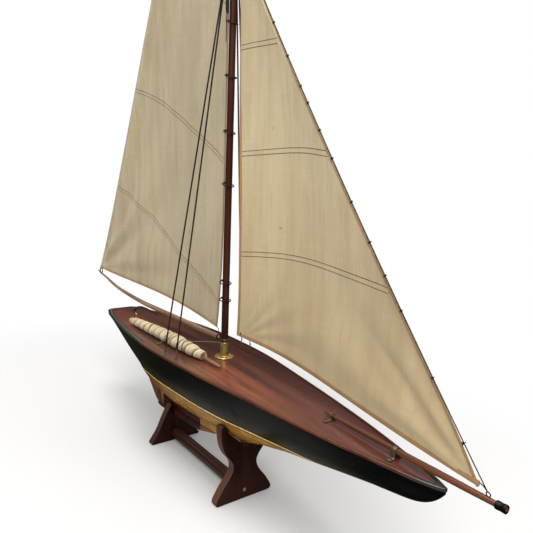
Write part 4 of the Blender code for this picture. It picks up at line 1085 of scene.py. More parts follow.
rail_inside = []
for x in [-0.4875] + deck_x[1:-1] + [0.5955]:
    half = half_beam(x) - GUNWALE_W
    rail_inside.append(mirrored(x, [(half, sheer(x) - 0.01), (half, sheer(x) + 0.02)]))
rail_x = spaced(STERN_X - 0.0005, STEM_X + 0.0008, 130)
add("edge_moulding", solid([rail_ring(x) for x in rail_x]), EDGE_M, "yacht", "edge_wood",
    "gunwale_moulding", sharp=35, tools=[cutter(solid(rail_inside))])

# ================================================================ mast and its metalwork
mast_radius = linear((
    (0.0, 0.0074), (0.40, 0.0073), (0.97, 0.0069), (1.25, 0.0060), (MAST_TOP, 0.0040)))
foot_z = bottom(MAST_X) + 0.0215 + 0.0063
profile = [(0, foot_z), (mast_radius(foot_z) - 0.0006, foot_z)]
for k in range(61):
    z = mix(foot_z + 0.0006, MAST_TOP - 0.0002, k / 60)
    profile.append((mast_radius(z) + 0.00006 * math.sin(z * 41.0), z))
profile += [(mast_radius(MAST_TOP) - 0.0004, MAST_TOP), (0, MAST_TOP)]
add("mast_spar", lathe(profile, 40, AT_MAST), MAST_WOOD_M, "yacht", "mast_wood", "mast")

# brass tube that holds the mast at the deck; radius, height
flange_z = deck_top(MAST_X) + 0.0004
TUBE = [
    (0.0077, 0.3045), (0.0077, flange_z), (0.0200, flange_z), (0.0202, flange_z + 0.0008),
    (0.0199, flange_z + 0.0017), (0.0192, flange_z + 0.0023), (0.0184, flange_z + 0.0024),
    (0.0108, flange_z + 0.0024), (0.0094, flange_z + 0.0029), (0.0086, flange_z + 0.0040),
    (0.0084, flange_z + 0.0055), (0.0084, 0.3030), (0.0087, 0.3034), (0.0087, 0.3042),
    (0.0084, 0.3045)]
add("mast_step_tube", lathe(TUBE, 64, AT_MAST, closed=True), BRASS_M, "yacht", "brass",
    "mast_tube", sharp=30, tools=screw_bores)

# radius, height over the flange
SCREW = ((0, -0.011), (0.0008, -0.0105), (0.0012, -0.009), (0.0012, 0), (0.0030, 0),
         (0.0030, 0.0003), (0.0026, 0.0010), (0.0016, 0.0014), (0, 0.0015))
for tag, y, turn in (("port", SCREW_Y, 0.5), ("starboard", -SCREW_Y, 1.9)):
    head_z = flange_z + 0.0024 + GAP
    run = Vector((math.cos(turn), math.sin(turn), 0))
    groove = box_cutter(Vector((MAST_X, y, head_z + 0.0013)),
                        run * 0.0040, Vector((-run.y, run.x, 0)) * 0.0003, UP * 0.0006)
    add("tube_screw_" + tag,
        lathe([(radius, head_z + rise) for radius, rise in SCREW], 28,
              Matrix.Translation((MAST_X, y, 0))),
        BRASS_M, "yacht", "brass", "flange_screw_" + tag, sharp=30, tools=[groove])

inner_r = mast_radius(HOUNDS_Z) + GAP
profile = [(inner_r, HOUNDS_Z + 0.024), (inner_r, HOUNDS_Z - 0.006)]
profile += [(0.0084 + 0.0004 * abs(math.sin(k * 0.85)), HOUNDS_Z - 0.006 + 0.030 * k / 39)
            for k in range(40)]
add("hounds_wrap", lathe(profile, 40, AT_MAST, closed=True), BLACK_CORD_M, "yacht", "dark_iron",
    "hounds_band")
# radius, height over the masthead
BUTTON = ((0, GAP), (0.0062, GAP), (0.0069, 0.0012), (0.0070, 0.0030), (0.0062, 0.0052),
          (0.0040, 0.0069), (0.0018, 0.0074), (0, 0.0075))
add("mast_button", lathe([(radius, MAST_TOP + rise) for radius, rise in BUTTON], 36, AT_MAST),
    MAST_WOOD_M, "yacht", "mast_wood", "mast_truck")

# ================================================================ shrouds
CORD_PITCH, CORD_DEPTH = 0.0080, 0.20
# distance along the cord, radius
KNOT = ((0.0012, 0.0016), (0.0030, 0.0024), (0.0055, 0.0027), (0.0085, 0.0026),
        (0.0110, 0.0022), (0.0125, 0.0016))
# radius, height
HOOK_PLATE = ((0, 0), (0.0030, 0), (0.0031, 0.0006), (0.0026, 0.0012), (0.0012, 0.0016),
              (0, 0.0017))


def twisted(angle, distance, radius):
    return radius * (1.0 - CORD_DEPTH
                     + CORD_DEPTH * abs(math.cos(angle - TAU * distance / CORD_PITCH)))


def shroud(tag, x, y):
    """A twisted black cord with a knotted lower end, held by a bent wire hook."""
    base = Vector((x, y, deck_top(x, y) + 0.0005))
    outward = Vector((x - MAST_X, y, 0)).normalized()
    top = Vector((MAST_X, 0, HOUNDS_Z)) + outward * 0.0103
    run = (top - (base + UP * 0.012)).normalized()
    hook_top = base + UP * 0.0075 + run * 0.0150
    start = hook_top + run * 0.0010
    cord = sweep([(*start.lerp(top, i / 619), 0.00172) for i in range(620)], 10, shape=twisted)
    knot = sweep([(*(hook_top + run * way), radius) for way, radius in KNOT], 14)
    eye = loop(start, 0.0016, 0.0007, 20, normal=(1, 0.2, 0.1))
    add("shroud_cord_" + tag, join_parts([cord, knot, eye]), BLACK_CORD_M, "yacht", "cord",
        "shroud_" + tag)
    lean = Vector((0.0022, 0, 0))
    wire = [base, base + UP * 0.0012, base + UP * 0.0050, base + lean + UP * 0.0085,
            base + lean * 0.6 + run * 0.0120 + UP * 0.003, hook_top - run * 0.0015, hook_top]
    hook = curve([(*point, 0.00095) for point in wire], 40, 10)
    plate = lathe(HOOK_PLATE, 24, Matrix.Translation(base))
    curl = loop(base + lean + UP * 0.0095, 0.0020, 0.0007, 20, normal=(0.2, 1, 0))
    add("shroud_wire_" + tag, join_parts([hook, plate, curl]), BRONZE_M, "yacht", "dark_iron",
        "shroud_hook_" + tag)


# the port shrouds stand 14 mm further forward
for side, direction, ahead in (("port", 1.0, 0.014), ("starboard", -1.0, 0.0)):
    for place, x, y in (("aft", -0.018, 0.0925), ("fore", 0.023, 0.0875)):
        shroud("%s_%s" % (place, side), x + ahead, direction * y)

# beside the mast under the hounds: a black whipping with a loose end hanging from it
whip = [(mix(0.0667, 0.0678, k / 30), -0.0112, mix(0.9745, 0.9490, k / 30),
         0.0026 + 0.0007 * math.sin(math.pi * k / 30) + 0.00022 * abs(math.sin(k * 1.3)))
        for k in range(31)]
loose = [(0.0678, -0.0118, 0.9500, 0.0007), (0.0700, -0.0142, 0.9420, 0.0008),
         (0.0712, -0.0147, 0.9200, 0.0008), (0.0706, -0.0146, 0.8950, 0.0007)]
add("shroud_whipping", join_parts([sweep(whip, 16), curve(loose, 40, 8)]), BLACK_CORD_M,
    "yacht", "cord")

# ================================================================ bowsprit
# x, z, radius
SPRIT = ((0.3800, 0.2680, 0.0021), (0.4100, 0.2675, 0.0033), (0.4600, 0.2668, 0.0041),
         (0.5300, 0.2658, 0.0045), (0.6000, 0.2652, 0.0047), (0.6500, 0.2650, 0.0043),
         (0.6930, 0.2648, 0.0036))
add("bowsprit_spar", curve([(x, 0, z, radius) for x, z, radius in SPRIT], 90, 28), SPRIT_WOOD_M,
    "yacht", "spar_wood", "bowsprit")
sprit_z = linear([(x, z) for x, z, radius in SPRIT])
sprit_r = linear([(x, radius) for x, z, radius in SPRIT])
STRAP_T = 0.0011


def strap(name, node, x, foot_y, width):
    """A strap bent over the bowsprit, with small screws in its feet."""
    radius = sprit_r(x) + 0.0004
    foot_z = max(deck_top(x - width / 2), deck_top(x + width / 2)) + GAP
    top_z = foot_z + STRAP_T

    def line(radius, z, flare, rise, steps=24):
        arc = [(radius * math.cos(math.pi * k / steps),
                sprit_z(x) + radius * math.sin(math.pi * k / steps)) for k in range(steps + 1)]
        return [(foot_y, z), (radius + flare, z), (radius, z + rise)] + arc \
            + [(-radius, z + rise), (-radius - flare, z), (-foot_y, z)]

    outline = line(radius, foot_z, 0.0012, 0.0009) \
        + line(radius + STRAP_T, top_z, 0.0010, 0.0008)[::-1]
    obj = board(name, outline, "x", x - width / 2, x + width / 2, BRONZE_M, bevel=0.00035,
                segments=2)
    bake(obj, 35)
    pin = [(0, top_z - 0.0004), (0.0017, top_z - 0.0004), (0.0017, top_z + 0.0002),
           (0.0011, top_z + 0.0007), (0, top_z + 0.0008)]
    heads = [lathe(pin, 20, Matrix.Translation((x, side * (foot_y - 0.0034), 0)))
             for side in (1, -1)]
    settle(obj, "yacht", "brass", node)
    add(name + "_pins", join_parts(heads), BRONZE_M, "yacht", "brass")


strap("saddle_strap", "bowsprit_saddle", x=0.397, foot_y=0.0175, width=0.0075)
strap("gammon_strap", "gammon_band", x=0.5270, foot_y=0.0165, width=0.0085)
# radius, distance along the spar
FERRULE = ((0.0041, 0.0140), (0.0041, 0.0), (0.0050, 0.0), (0.0056, 0.0006), (0.0056, 0.0040),
           (0.0053, 0.0046), (0.0053, 0.0094), (0.0056, 0.0100), (0.0056, 0.0134),
           (0.0051, 0.0140))
ferrule_place = along((0.6810, 0, 0.26485), (0.6970, 0, 0.26478))
add("bowsprit_ferrule", lathe(FERRULE, 40, ferrule_place, closed=True), IRON_M, "yacht",
    "dark_iron", "bowsprit_cap")
add("bowsprit_eye", join_parts([
    loop((0.6700, 0, 0.2716), 0.0030, 0.0008, 24, normal=(0.1, 1, 0.1), sides=10),
    sweep([(0.6705, 0, 0.2672, 0.0010), (0.6702, 0, 0.2690, 0.0009)], 10)]),
    IRON_M, "yacht", "dark_iron")

# ================================================================ rudder, stock, tiller
trunk_top, trunk_bottom = RUDDER_HEAD + STOCK_DOWN * 0.0010, RUDDER_HEAD + STOCK_DOWN * 0.1290
length = (trunk_bottom - trunk_top).length
add("rudder_tube", lathe([(TRUNK_BORE, length), (TRUNK_BORE, 0), (TRUNK_R, 0),
                          (TRUNK_R, length)], 40, along(trunk_top, trunk_bottom), closed=True),
    BRONZE_M, "yacht", "brass", "rudder_trunk")
stock_top, stock_bottom = RUDDER_HEAD - STOCK_DOWN * 0.0060, RUDDER_HEEL + STOCK_DOWN * 0.0020
length = (stock_bottom - stock_top).length
add("stock_rod", lathe([(0, 0), (STOCK_R - 0.0004, 0), (STOCK_R, 0.0005),
                        (STOCK_R, length - 0.0006), (STOCK_R - 0.0005, length), (0, length)], 28,
                       along(stock_top, stock_bottom)),
    BRONZE_M, "rudder", "brass", "rudder_stock")

# x, z of the blade, whose fore edge lies along the stock
blade_foot = RUDDER_HEEL - STOCK_AHEAD * (STOCK_R + GAP) - STOCK_DOWN * 0.0062
blade_head = RUDDER_HEEL - STOCK_AHEAD * (STOCK_R + GAP) - STOCK_DOWN * 0.1140
BLADE = [(blade_foot.x, blade_foot.z), (-0.2360, SHOE_TOP + 0.0011), (-0.2480, 0.0718),
         (-0.2700, 0.0895), (-0.2900, 0.1070), (-0.3060, 0.1220), (-0.3220, 0.1360),
         (-0.3330, 0.1460), (-0.3380, 0.1520), (-0.3350, 0.1560), (-0.3150, 0.1545),
         (blade_head.x, blade_head.z)]
blade = board("blade", soften(BLADE, corner=45, step=0.0030), "y", -0.0030, 0.0030, BLADE_M,
              bevel=0.0014, segments=4)
settle(bake(blade), "rudder", "rudder_wood", "rudder_blade")
over_stock = stock_top - STOCK_DOWN * (GAP + 0.0042)
TILLER = [
    (*(over_stock - STOCK_AHEAD * 0.0068), 0.0030), (*(over_stock - STOCK_AHEAD * 0.0045), 0.0040),
    (*(over_stock + STOCK_AHEAD * 0.0030), 0.0040), (-0.3760, 0, 0.2838, 0.0030),
    (-0.3600, 0, 0.2887, 0.0029), (-0.3400, 0, 0.2915, 0.0028), (-0.3150, 0, 0.2925, 0.0027),
    (-0.2880, 0, 0.2915, 0.0026), (-0.2680, 0, 0.2915, 0.0029), (-0.2590, 0, 0.2920, 0.0037),
    (-0.2530, 0, 0.2922, 0.0026)]
add("tiller_arm", curve(TILLER, 90, 20), TILLER_WOOD_M, "rudder", "rudder_wood", "tiller")

# ================================================================ boom, gooseneck and hoops
# x, z, radius
BOOM = ((0.0480, 0.3095, 0.0056), (-0.040, 0.3076, 0.0065), (-0.160, 0.3064, 0.0063),
        (-0.240, 0.3058, 0.0059), (-0.328, 0.3055, 0.0055), (-0.400, 0.3074, 0.0050),
        (-0.455, 0.3106, 0.0046), (-0.506, 0.3140, 0.0041), (-0.560, 0.3212, 0.0036),
        (-0.606, 0.3298, 0.0031), (-0.645, 0.3358, 0.0026), (-0.677, 0.3425, 0.0019))
add("boom_spar", curve([(x, 0, z, radius) for x, z, radius in reversed(BOOM)], 140, 24),
    SPAR_WOOD_M, "main", "spar_wood", "boom")
# radius, height
COLLAR = ((0.0080, 0.3118), (0.0080, 0.3072), (0.0090, 0.3072), (0.0093, 0.3076),
          (0.0093, 0.3114), (0.0090, 0.3118))
# radius, distance along the boom
BOOM_FERRULE = ((0.0059, 0.0), (0.0064, 0.0004), (0.0064, 0.0036), (0.0059, 0.0040),
                (0.0030, 0.0042), (0.0030, -0.0002))
add("gooseneck_iron", join_parts([
    sweep([(MAST_X - 0.0094, 0, BOOM_Z, 0.0022), (MAST_X - 0.0140, 0, BOOM_Z, 0.0018),
           (0.0486, 0, BOOM_Z, 0.0022)], 20),
    loop((0.0535, 0, BOOM_Z), 0.0042, 0.0014, 32, sides=12),
    lathe(BOOM_FERRULE, 36, along((0.0460, 0, 0.30945), (0.0500, 0, BOOM_Z)), closed=True)]),
    IRON_M, "main", "dark_iron", "gooseneck")
add("gooseneck_collar", lathe(COLLAR, 48, AT_MAST, closed=True), BRONZE_M, "main", "dark_iron")

HOOP_R, HOOP_X = 0.0114, MAST_X - 0.0022
# height, tilt in degrees
HOOPS = ((0.3930, 10.0), (0.6270, 20.0), (0.7290, 22.0), (0.8340, 24.0), (0.9330, 24.0),
         (1.2100, 18.0), (1.3600, 18.0), (1.5200, 18.0))


def hoop(name, z, tilt, *nodes):
    """A hoop round the mast with three small loops behind it."""
    parts = [loop((HOOP_X, 0, z), HOOP_R, 0.00115, 56, sides=12, tilt=tilt)]
    angle = math.radians(tilt)
    back = Vector((HOOP_X - HOOP_R * math.cos(angle), 0, z + HOOP_R * math.sin(angle)))
    for k, rise in enumerate((-0.0012, 0.0, 0.0012)):
        parts.append(loop(back + Vector((-0.0010, 0, rise)), 0.0019, 0.0006, 18,
                          normal=(0.3 * (k - 1), 0.2, 1)))
    add(name, join_parts(parts), IRON_M, "main", "dark_iron", *nodes)


for i, (z, tilt) in enumerate(HOOPS, 1):
    hoop("hoop_%d" % i, z, tilt, "mast_hoop_%d" % i)
hoop("hoop_low", 0.4290, 12.0)

# ================================================================ sail shapes
# A place on a sail is (aft, high): 0 to 1 from the luff to the leech and from foot to head.
# height, x
luff_x = linear((
    (0.329, 0.0385), (0.360, 0.0430), (0.400, 0.0470), (0.460, 0.0520), (0.540, 0.0545),
    (1.70, 0.0545)))
MAIN_TACK_Z, MAIN_HEAD_Z = 0.3290, 1.6500
# part of the height, x, z
LEECH = ((0.000, -0.6600, 0.3540), (0.125, -0.5790, 0.4900), (0.250, -0.4990, 0.6430),
         (0.400, -0.4060, 0.8270), (0.560, -0.2920, 1.0560), (0.700, -0.1870, 1.2500),
         (0.850, -0.0750, 1.4500), (1.000, 0.0440, 1.6500))
leech_x, leech_z = spline(LEECH, 1), spline(LEECH, 2)
JIB_LEECH = ((0.00, 0.1065, 0.3275), (0.25, 0.1145, 0.5050), (0.50, 0.1070, 0.6900),
             (0.80, 0.0985, 0.9050), (1.00, 0.0935, 1.0300))
jib_leech_x, jib_leech_z = spline(JIB_LEECH, 1), spline(JIB_LEECH, 2)
STAY_LOW, STAY_HIGH = Vector((0.6685, 0.0, 0.2745)), Vector((0.0835, 0.0, 1.0800))
STAY_SAG = 0.0110


def main_plain(aft, high):
    """The mainsail's belly, without folds."""
    z = MAIN_TACK_Z + (MAIN_HEAD_Z - MAIN_TACK_Z) * high
    luff = Vector((luff_x(z), 0, z))
    leech = Vector((leech_x(high), 0, leech_z(high)))
    width = (luff - leech).length
    belly = 0.048 * width * math.sin(math.pi * max(0.0, aft) ** 0.85) * (0.95 - 0.35 * high)
    foot = math.sin(math.pi * aft) * (0.0275 - 0.031 * aft * aft)
    part = smooth(high / 0.25)
    return luff.lerp(leech, aft) + ACROSS * (part * belly + (1 - part) * foot)


def edge_fade(aft, high):
    """1 inside the sail, 0 along its edges, so that tapes and spars still meet it."""
    return smooth(min(aft, 1 - aft) / 0.07) * smooth(min(high, 1 - high) / 0.05)


def fan(ahead, rise, folds, reach, depth, phase=0.0):
    """Folds that fan out from a corner and die away with the distance from it."""
    angle = math.atan2(rise, ahead + 1e-6)
    return math.sin(angle * folds + phase) * math.exp(-math.hypot(ahead, rise) / reach) * depth


def lumps(x, seed, z):
    return noise.noise(Vector((x, seed, z)))


def main_point(aft, high):
    """The mainsail with its folds."""
    point = main_plain(aft, high)
    x, z = point.x, point.z
    # soft folds that fan out from the clew
    push = fan(x + 0.66, z - 0.354, folds=15.0, phase=0.8, reach=0.42, depth=0.0062)
    push += fan(x + 0.66, z - 0.354, folds=27.0, reach=0.24, depth=0.0026)
    # upright folds that start behind the luff
    push += math.sin(aft * 31.0 + 1.5 * lumps(x * 3, 0.0, z * 1.1)) * 0.0011 \
        * smooth((aft - 0.05) / 0.2)
    # long hollows beside the luff and the leech
    push += math.sin(x * 210.0 + 3.2 * lumps(x * 2, 1.0, z * 2)) * 0.0012 \
        * math.exp(-aft / 0.16)
    push += math.sin((1 - aft) * 46.0 + z * 3.0) * 0.0036 * math.exp(-(1 - aft) / 0.16)
    # broad and small unevenness
    push += lumps(x * 5.0, 2.0, z * 2.2) * 0.0065 + lumps(x * 24.0, 5.0, z * 11.0) * 0.0007
    return point + ACROSS * (push * edge_fade(aft, high))


def stay_point(part):
    """A point on the sagging forestay, 0 at the bowsprit and 1 at the mast."""
    sag = Vector((-0.81, 0, -0.58)) * STAY_SAG * 4 * part * (1 - part)
    return STAY_LOW.lerp(STAY_HIGH, part) + sag


def jib_plain(aft, high):
    """The jib's belly, without folds."""
    low = max(0.0, 1.0 - high / 0.12) ** 2  # the tack corner stands a little way off the stay
    luff = stay_point(0.0020 + 0.933 * high) + Vector((-0.0024 - 0.0080 * low, 0, -0.0004))
    leech = Vector((jib_leech_x(high), 0, jib_leech_z(high)))
    leech.x = min(leech.x, luff.x - 0.012)
    width = (luff - leech).length
    belly = 0.062 * width * math.sin(math.pi * max(0.0, aft) ** 0.9) * (1.0 - 0.30 * high)
    foot = 0.020 * math.sin(math.pi * aft * aft) + 0.006 * aft
    part = smooth(high / 0.30)
    return luff.lerp(leech, aft) + ACROSS * (part * belly + (1 - part) * foot)


def jib_point(aft, high):
    """The jib with its folds."""
    point = jib_plain(aft, high)
    x, z = point.x, point.z
    # folds from the tack and from the clew
    push = fan(0.656 - x, z - 0.276, folds=14.0, phase=0.4, reach=0.26, depth=0.0056)
    push += fan(x - 0.118, z - 0.329, folds=19.0, reach=0.13, depth=0.0020)
    # one long soft crease that runs up from the tack
    across = (x - 0.6311) * 0.565 + (z - 0.2958) * 0.825
    ahead = (z - 0.2958) * 0.565 - (x - 0.6311) * 0.825
    crease = smooth((ahead + 0.02) / 0.03) * smooth((0.26 - ahead) / 0.18) * 0.0046
    push += crease * (math.exp(-(across / 0.009) ** 2)
                      - 0.7 * math.exp(-((across + 0.018) / 0.012) ** 2))
    # hollows beside the leech
    push += math.sin(x * 120.0 + 2.4 * lumps(x * 2, 7.0, z * 2)) * 0.0009 \
        * math.exp(-(1 - aft) / 0.22)
    # broad and small unevenness
    push += lumps(x * 5.5, 12.0, z * 2.6) * 0.0046 + lumps(x * 22.0, 15.0, z * 10.0) * 0.0006
    return point + ACROSS * (push * edge_fade(aft, high))


def cloth(at, columns, rows):
    """A closed sheet of even thickness."""
    wide = columns + 1
    grid = [[at(i / columns, j / rows) for i in range(wide)] for j in range(rows + 1)]
    front, back = [], []
    for j in range(rows + 1):
        for i in range(wide):
            run = grid[j][min(i + 1, columns)] - grid[j][max(i - 1, 0)]
            rise = grid[min(j + 1, rows)][i] - grid[max(j - 1, 0)][i]
            normal = run.cross(rise).normalized()
            front.append(grid[j][i] + normal * SAIL_T / 2)
            back.append(grid[j][i] - normal * SAIL_T / 2)
    far = len(front)
    faces = []
    for j in range(rows):
        for i in range(columns):
            low, high = j * wide + i, (j + 1) * wide + i
            face = (low, low + 1, high + 1, high)
            faces.append(face)
            faces.append(tuple(far + k for k in reversed(face)))
    edge = [i for i in range(columns)] + [j * wide + columns for j in range(rows)] \
        + [rows * wide + i for i in range(columns, 0, -1)] + [j * wide for j in range(rows, 0, -1)]
    for here, ahead in zip(edge, edge[1:] + edge[:1]):
        faces.append((ahead, here, far + here, far + ahead))
    return front + back, faces


# whether the edge runs aft, its place on the sail, a place just inside it
TAPE_EDGES = {"foot": (True, 0, 0.012), "head": (True, 1, 0.995),
              "luff": (False, 0, 0.02), "leech": (False, 1, 0.98)}


def tape(at, edge, width, count, thick=0.00215):
    """A folded tape sewn over one edge of a sail."""
    runs_aft, outer, inner = TAPE_EDGES[edge]

    def place(part, depth):
        return at(part, depth) if runs_aft else at(depth, part)

    half = thick / 2
    # distance inwards, distance out of the sail
    profile = [(width, half * 0.86), (width * 0.97, half), (0.0010, half),
               (-0.00025, half * 0.8), (-0.0005, 0.0), (-0.00025, -half * 0.8),
               (0.0010, -half), (width * 0.97, -half), (width, -half * 0.86)]
    rings = []
    for i in range(count + 1):
        part = i / count
        point = place(part, outer)
        run = place(min(1, part + 0.01), outer) - place(max(0, part - 0.01), outer)
        run.normalize()
        inward = place(part, inner) - point
        inward = (inward - run * inward.dot(run)).normalized()
        normal = run.cross(inward).normalized()
        wobble = 1.0 + 0.05 * math.sin(i * 1.7)
        rings.append([point + inward * depth * (wobble if depth > 0.002 else 1.0) + normal * out
                      for depth, out in profile])
    return solid(rings)


def on_sail(at, target_x, target_z, start):
    """The (aft, high) of the sail point at a given x and z, by Newton steps."""
    aft, high = start
    step = 0.001
    for _ in range(30):
        point = at(aft, high)
        miss_x, miss_z = target_x - point.x, target_z - point.z
        by_aft, by_high = at(aft + step, high), at(aft, high + step)
        x_aft, x_high = (by_aft.x - point.x) / step, (by_high.x - point.x) / step
        z_aft, z_high = (by_aft.z - point.z) / step, (by_high.z - point.z) / step
        det = x_aft * z_high - x_high * z_aft
        if abs(det) < 1e-9:
            break
        aft = clamped(aft + (miss_x * z_high - x_high * miss_z) / det)
        high = clamped(high + (x_aft * miss_z - miss_x * z_aft) / det)
        if abs(miss_x) + abs(miss_z) < 1e-6:
            break
    return aft, high


SEAM_GAP, STITCH_R, OVERLAP_T = 0.0082, 0.00112, 0.0018


def seam_line(at, seam, offset, count):
    """Sail points along a seam, raised by an offset."""
    height = spline(seam)
    guess, line = (0.5, 0.4), []
    for i in range(count + 1):
        x = mix(seam[0][0], seam[-1][0], i / count)
        guess = on_sail(at, x, height(x) + offset, guess)
        line.append(at(*guess))
    return line


def add_seams(body, at, seams, material):
    """Two rows of stitching along each seam, and the thicker overlap between them."""
    threads, overlaps = [], []
    for seam in seams:
        for offset in (-SEAM_GAP / 2, SEAM_GAP / 2):
            line = seam_line(at, seam, offset, 150)
            threads.append(sweep([(*point, STITCH_R * (1.0 + 0.10 * math.sin(i * 2.1)))
                                  for i, point in enumerate(line)], 8))
        out = ACROSS * OVERLAP_T / 2
        overlaps.append(solid([[low + out, high + out, high - out, low - out]
                               for low, high in zip(seam_line(at, seam, -SEAM_GAP / 2, 120),
                                                    seam_line(at, seam, SEAM_GAP / 2, 120))]))
    add(body + "_seams", join_parts(threads), SEAM_M, body, "sailcloth", sharp=60)
    add(body + "_overlaps", join_parts(overlaps), material, body, "sailcloth", sharp=50)


# ================================================================ sails
# x, z
MAIN_SEAMS = (
    ((-0.508, 0.606), (-0.393, 0.558), (-0.277, 0.505), (-0.158, 0.453), (-0.033, 0.4085),
     (0.045, 0.379)),
    ((-0.386, 0.858), (-0.288, 0.8255), (-0.194, 0.784), (-0.079, 0.731), (0.052, 0.672)),
    ((-0.262, 1.112), (-0.150, 1.070), (-0.040, 1.018), (0.052, 0.972)),
    ((-0.130, 1.352), (-0.060, 1.328), (0.000, 1.300), (0.052, 1.272)),
    ((-0.010, 1.560), (0.018, 1.552), (0.052, 1.538)))
JIB_SEAMS = (
    ((0.121, 0.495), (0.2445, 0.504), (0.373, 0.4985), (0.492, 0.4895)),
    ((0.111, 0.6865), (0.200, 0.690), (0.2987, 0.6885), (0.352, 0.6820)),
    ((0.1007, 0.881), (0.160, 0.8795), (0.212, 0.8745)))
# edge, width, count of steps
MAIN_TAPES = (("foot", 0.0065, 150), ("luff", 0.0060, 200), ("head", 0.0040, 8))
JIB_TAPES = (("foot", 0.0070, 150), ("leech", 0.0062, 160), ("luff", 0.0034, 180),
             ("head", 0.0030, 6))

add("main_cloth", cloth(main_point, 96, 150), CANVAS_M, "main", "sailcloth", "mainsail",
    sharp=60)
add("main_tape", join_parts([tape(main_plain, *row) for row in MAIN_TAPES]), TAPE_M, "main",
    "sailcloth", sharp=50)
add("main_hem", tape(main_plain, "leech", 0.0072, 200, thick=0.0020), HEM_M, "main",
    "sailcloth", sharp=50)
add_seams("main", main_point, MAIN_SEAMS, CANVAS_M)

add("jib_cloth", cloth(jib_point, 96, 130), JIB_LIT_M, "jib", "sailcloth", "jib_sail", sharp=60)
add("jib_tape", join_parts([tape(jib_plain, *row) for row in JIB_TAPES]), TAPE_M, "jib",
    "sailcloth", sharp=50)
add_seams("jib", jib_point, JIB_SEAMS, JIB_LIT_M)

add("jib_luff_wire", sweep([(*stay_point(k / 60), 0.0008) for k in range(61)], 10),
    BLACK_CORD_M, "jib", "cord", "jib_stay")


def hank(part, size=1.0):
    """A ring round the stay and a small loop that ties it to the sail."""
    center = stay_point(part)
    run = (stay_point(part + 0.01) - stay_point(part - 0.01)).normalized()
    return [loop(center, 0.0022 * size, 0.00062, 24, normal=run),
            loop(center + run.cross(ACROSS) * 0.0026, 0.0015, 0.0006, 16)]


for i, part in enumerate((0.060, 0.355, 0.650, 0.870), 1):
    add("hank_%d" % i, join_parts(hank(part)), IRON_M, "jib", "dark_iron", "jib_hank_%d" % i)
small_hanks = []
for part in (0.147, 0.245, 0.300, 0.425, 0.505, 0.560, 0.615, 0.715, 0.790):
    small_hanks += hank(part, 0.9)
add("hanks_small", join_parts(small_hanks), IRON_M, "jib", "dark_iron")

# eyes at the clew and tack, three turns round the boom end, a line along it and one at the tack
boom_at = linear(sorted((x, z) for x, z, radius in BOOM))
lash_z = boom_at(-0.654)
parts = [loop(main_plain(0.985, 0.006), 0.0030, 0.0009, 24, normal=(0.1, 1, 0)),
         loop(main_plain(0.03, 0.006), 0.0026, 0.0009, 24)]
for k in range(3):
    turn = []
    for i in range(28):
        angle = TAU * i / 28
        turn.append((-0.6560 + 0.0016 * k + 0.0006 * math.sin(angle), 0.0034 * math.cos(angle),
                     mix(lash_z - 0.0032, 0.3550, 0.5 + 0.5 * math.sin(angle)), 0.0009))
    parts.append(sweep(turn, 8, closed=True))
parts.append(curve([(-0.6550, -0.0026, lash_z + 0.0030, 0.0009),
                    (-0.6500, -0.0040, lash_z + 0.0010, 0.0009),
                    (-0.6440, -0.0030, boom_at(-0.644) + 0.0006, 0.0009)], 20, 8))
parts.append(curve([(0.0385, 0.0, 0.3290, 0.0007), (0.0420, 0.0020, 0.3240, 0.0007),
                    (0.0470, 0.0, 0.3185, 0.0007), (0.0530, -0.0010, 0.3140, 0.0007)], 20, 8))
add("main_lashings", join_parts(parts), IRON_M, "main", "dark_iron")
add("jib_lashings", join_parts([
    loop(jib_plain(0.985, 0.008), 0.0030, 0.0009, 24, normal=(0.1, 1, 0)),
    loop(jib_plain(0.015, 0.006), 0.0024, 0.0008, 24),
    curve([(0.6560, 0.0, 0.2810, 0.0007), (0.6620, 0.0015, 0.2780, 0.0007),
           (0.6685, 0.0, 0.2745, 0.0008)], 16, 8)]),
    IRON_M, "jib", "dark_iron")

# ================================================================ spare sail rolled on its spar
# x, y, z, radius
ROLL = ((-0.2790, -0.0570, 0.2775, 0.0066), (-0.2640, -0.0570, 0.2790, 0.0086),
        (-0.2200, -0.0567, 0.2815, 0.0104), (-0.1600, -0.0562, 0.2835, 0.0122),
        (-0.0900, -0.0556, 0.2855, 0.0134), (-0.0200, -0.0545, 0.2857, 0.0138),
        (0.0040, -0.0537, 0.2855, 0.0124), (0.0120, -0.0535, 0.2855, 0.0123),
        (0.0250, -0.0530, 0.2845, 0.0126), (0.0520, -0.0505, 0.2828, 0.0104),
        (0.0680, -0.0490, 0.2813, 0.0092))
ROLL_PITCH, ROLL_SIDES = 0.0285, 64
SPAR_IN, SPAR_TIP = Vector((-0.0300, -0.0520, 0.2830)), Vector((0.1260, -0.0450, 0.2760))
# scale of each ring at the coiled forward end, and how far aft it is drawn in
ROLL_MOUTH = ((0.93, -0.0003), (0.86, 0.0004), (0.80, 0.0013), (0.74, 0.0008), (0.66, 0.0017),
              (0.60, 0.0011), (0.54, 0.0022), (0.49, 0.0016), (0.46, 0.0030), (0.435, 0.0040),
              (0.430, 0.0120))
# scale of each ring of the gathered after cap, and how far aft it stands out
ROLL_CAP = ((0.93, 0.0009), (0.80, 0.0017), (0.62, 0.0021), (0.42, 0.0017), (0.22, 0.0009))
roll_rows = resample(ROLL, 300)


def roll_shape(angle, distance, radius):
    cos, sin = math.cos(angle), math.sin(angle)
    phase = distance / ROLL_PITCH + angle / TAU + 0.08 * lumps(distance * 16.0, cos, sin)
    phase -= math.floor(phase)
    lip = 0.938 + 0.135 * (smooth(phase / 0.07) - smooth((phase - 0.07) / 0.93)) \
        + 0.012 * math.sin(TAU * phase)
    crumple = 0.018 * lumps(distance * 55.0, 2.2 * cos, 2.2 * sin)
    crumple += 0.008 * lumps(distance * 170.0, 5 * cos, 5 * sin + 4.0)
    return radius * (0.965 * lip + crumple)


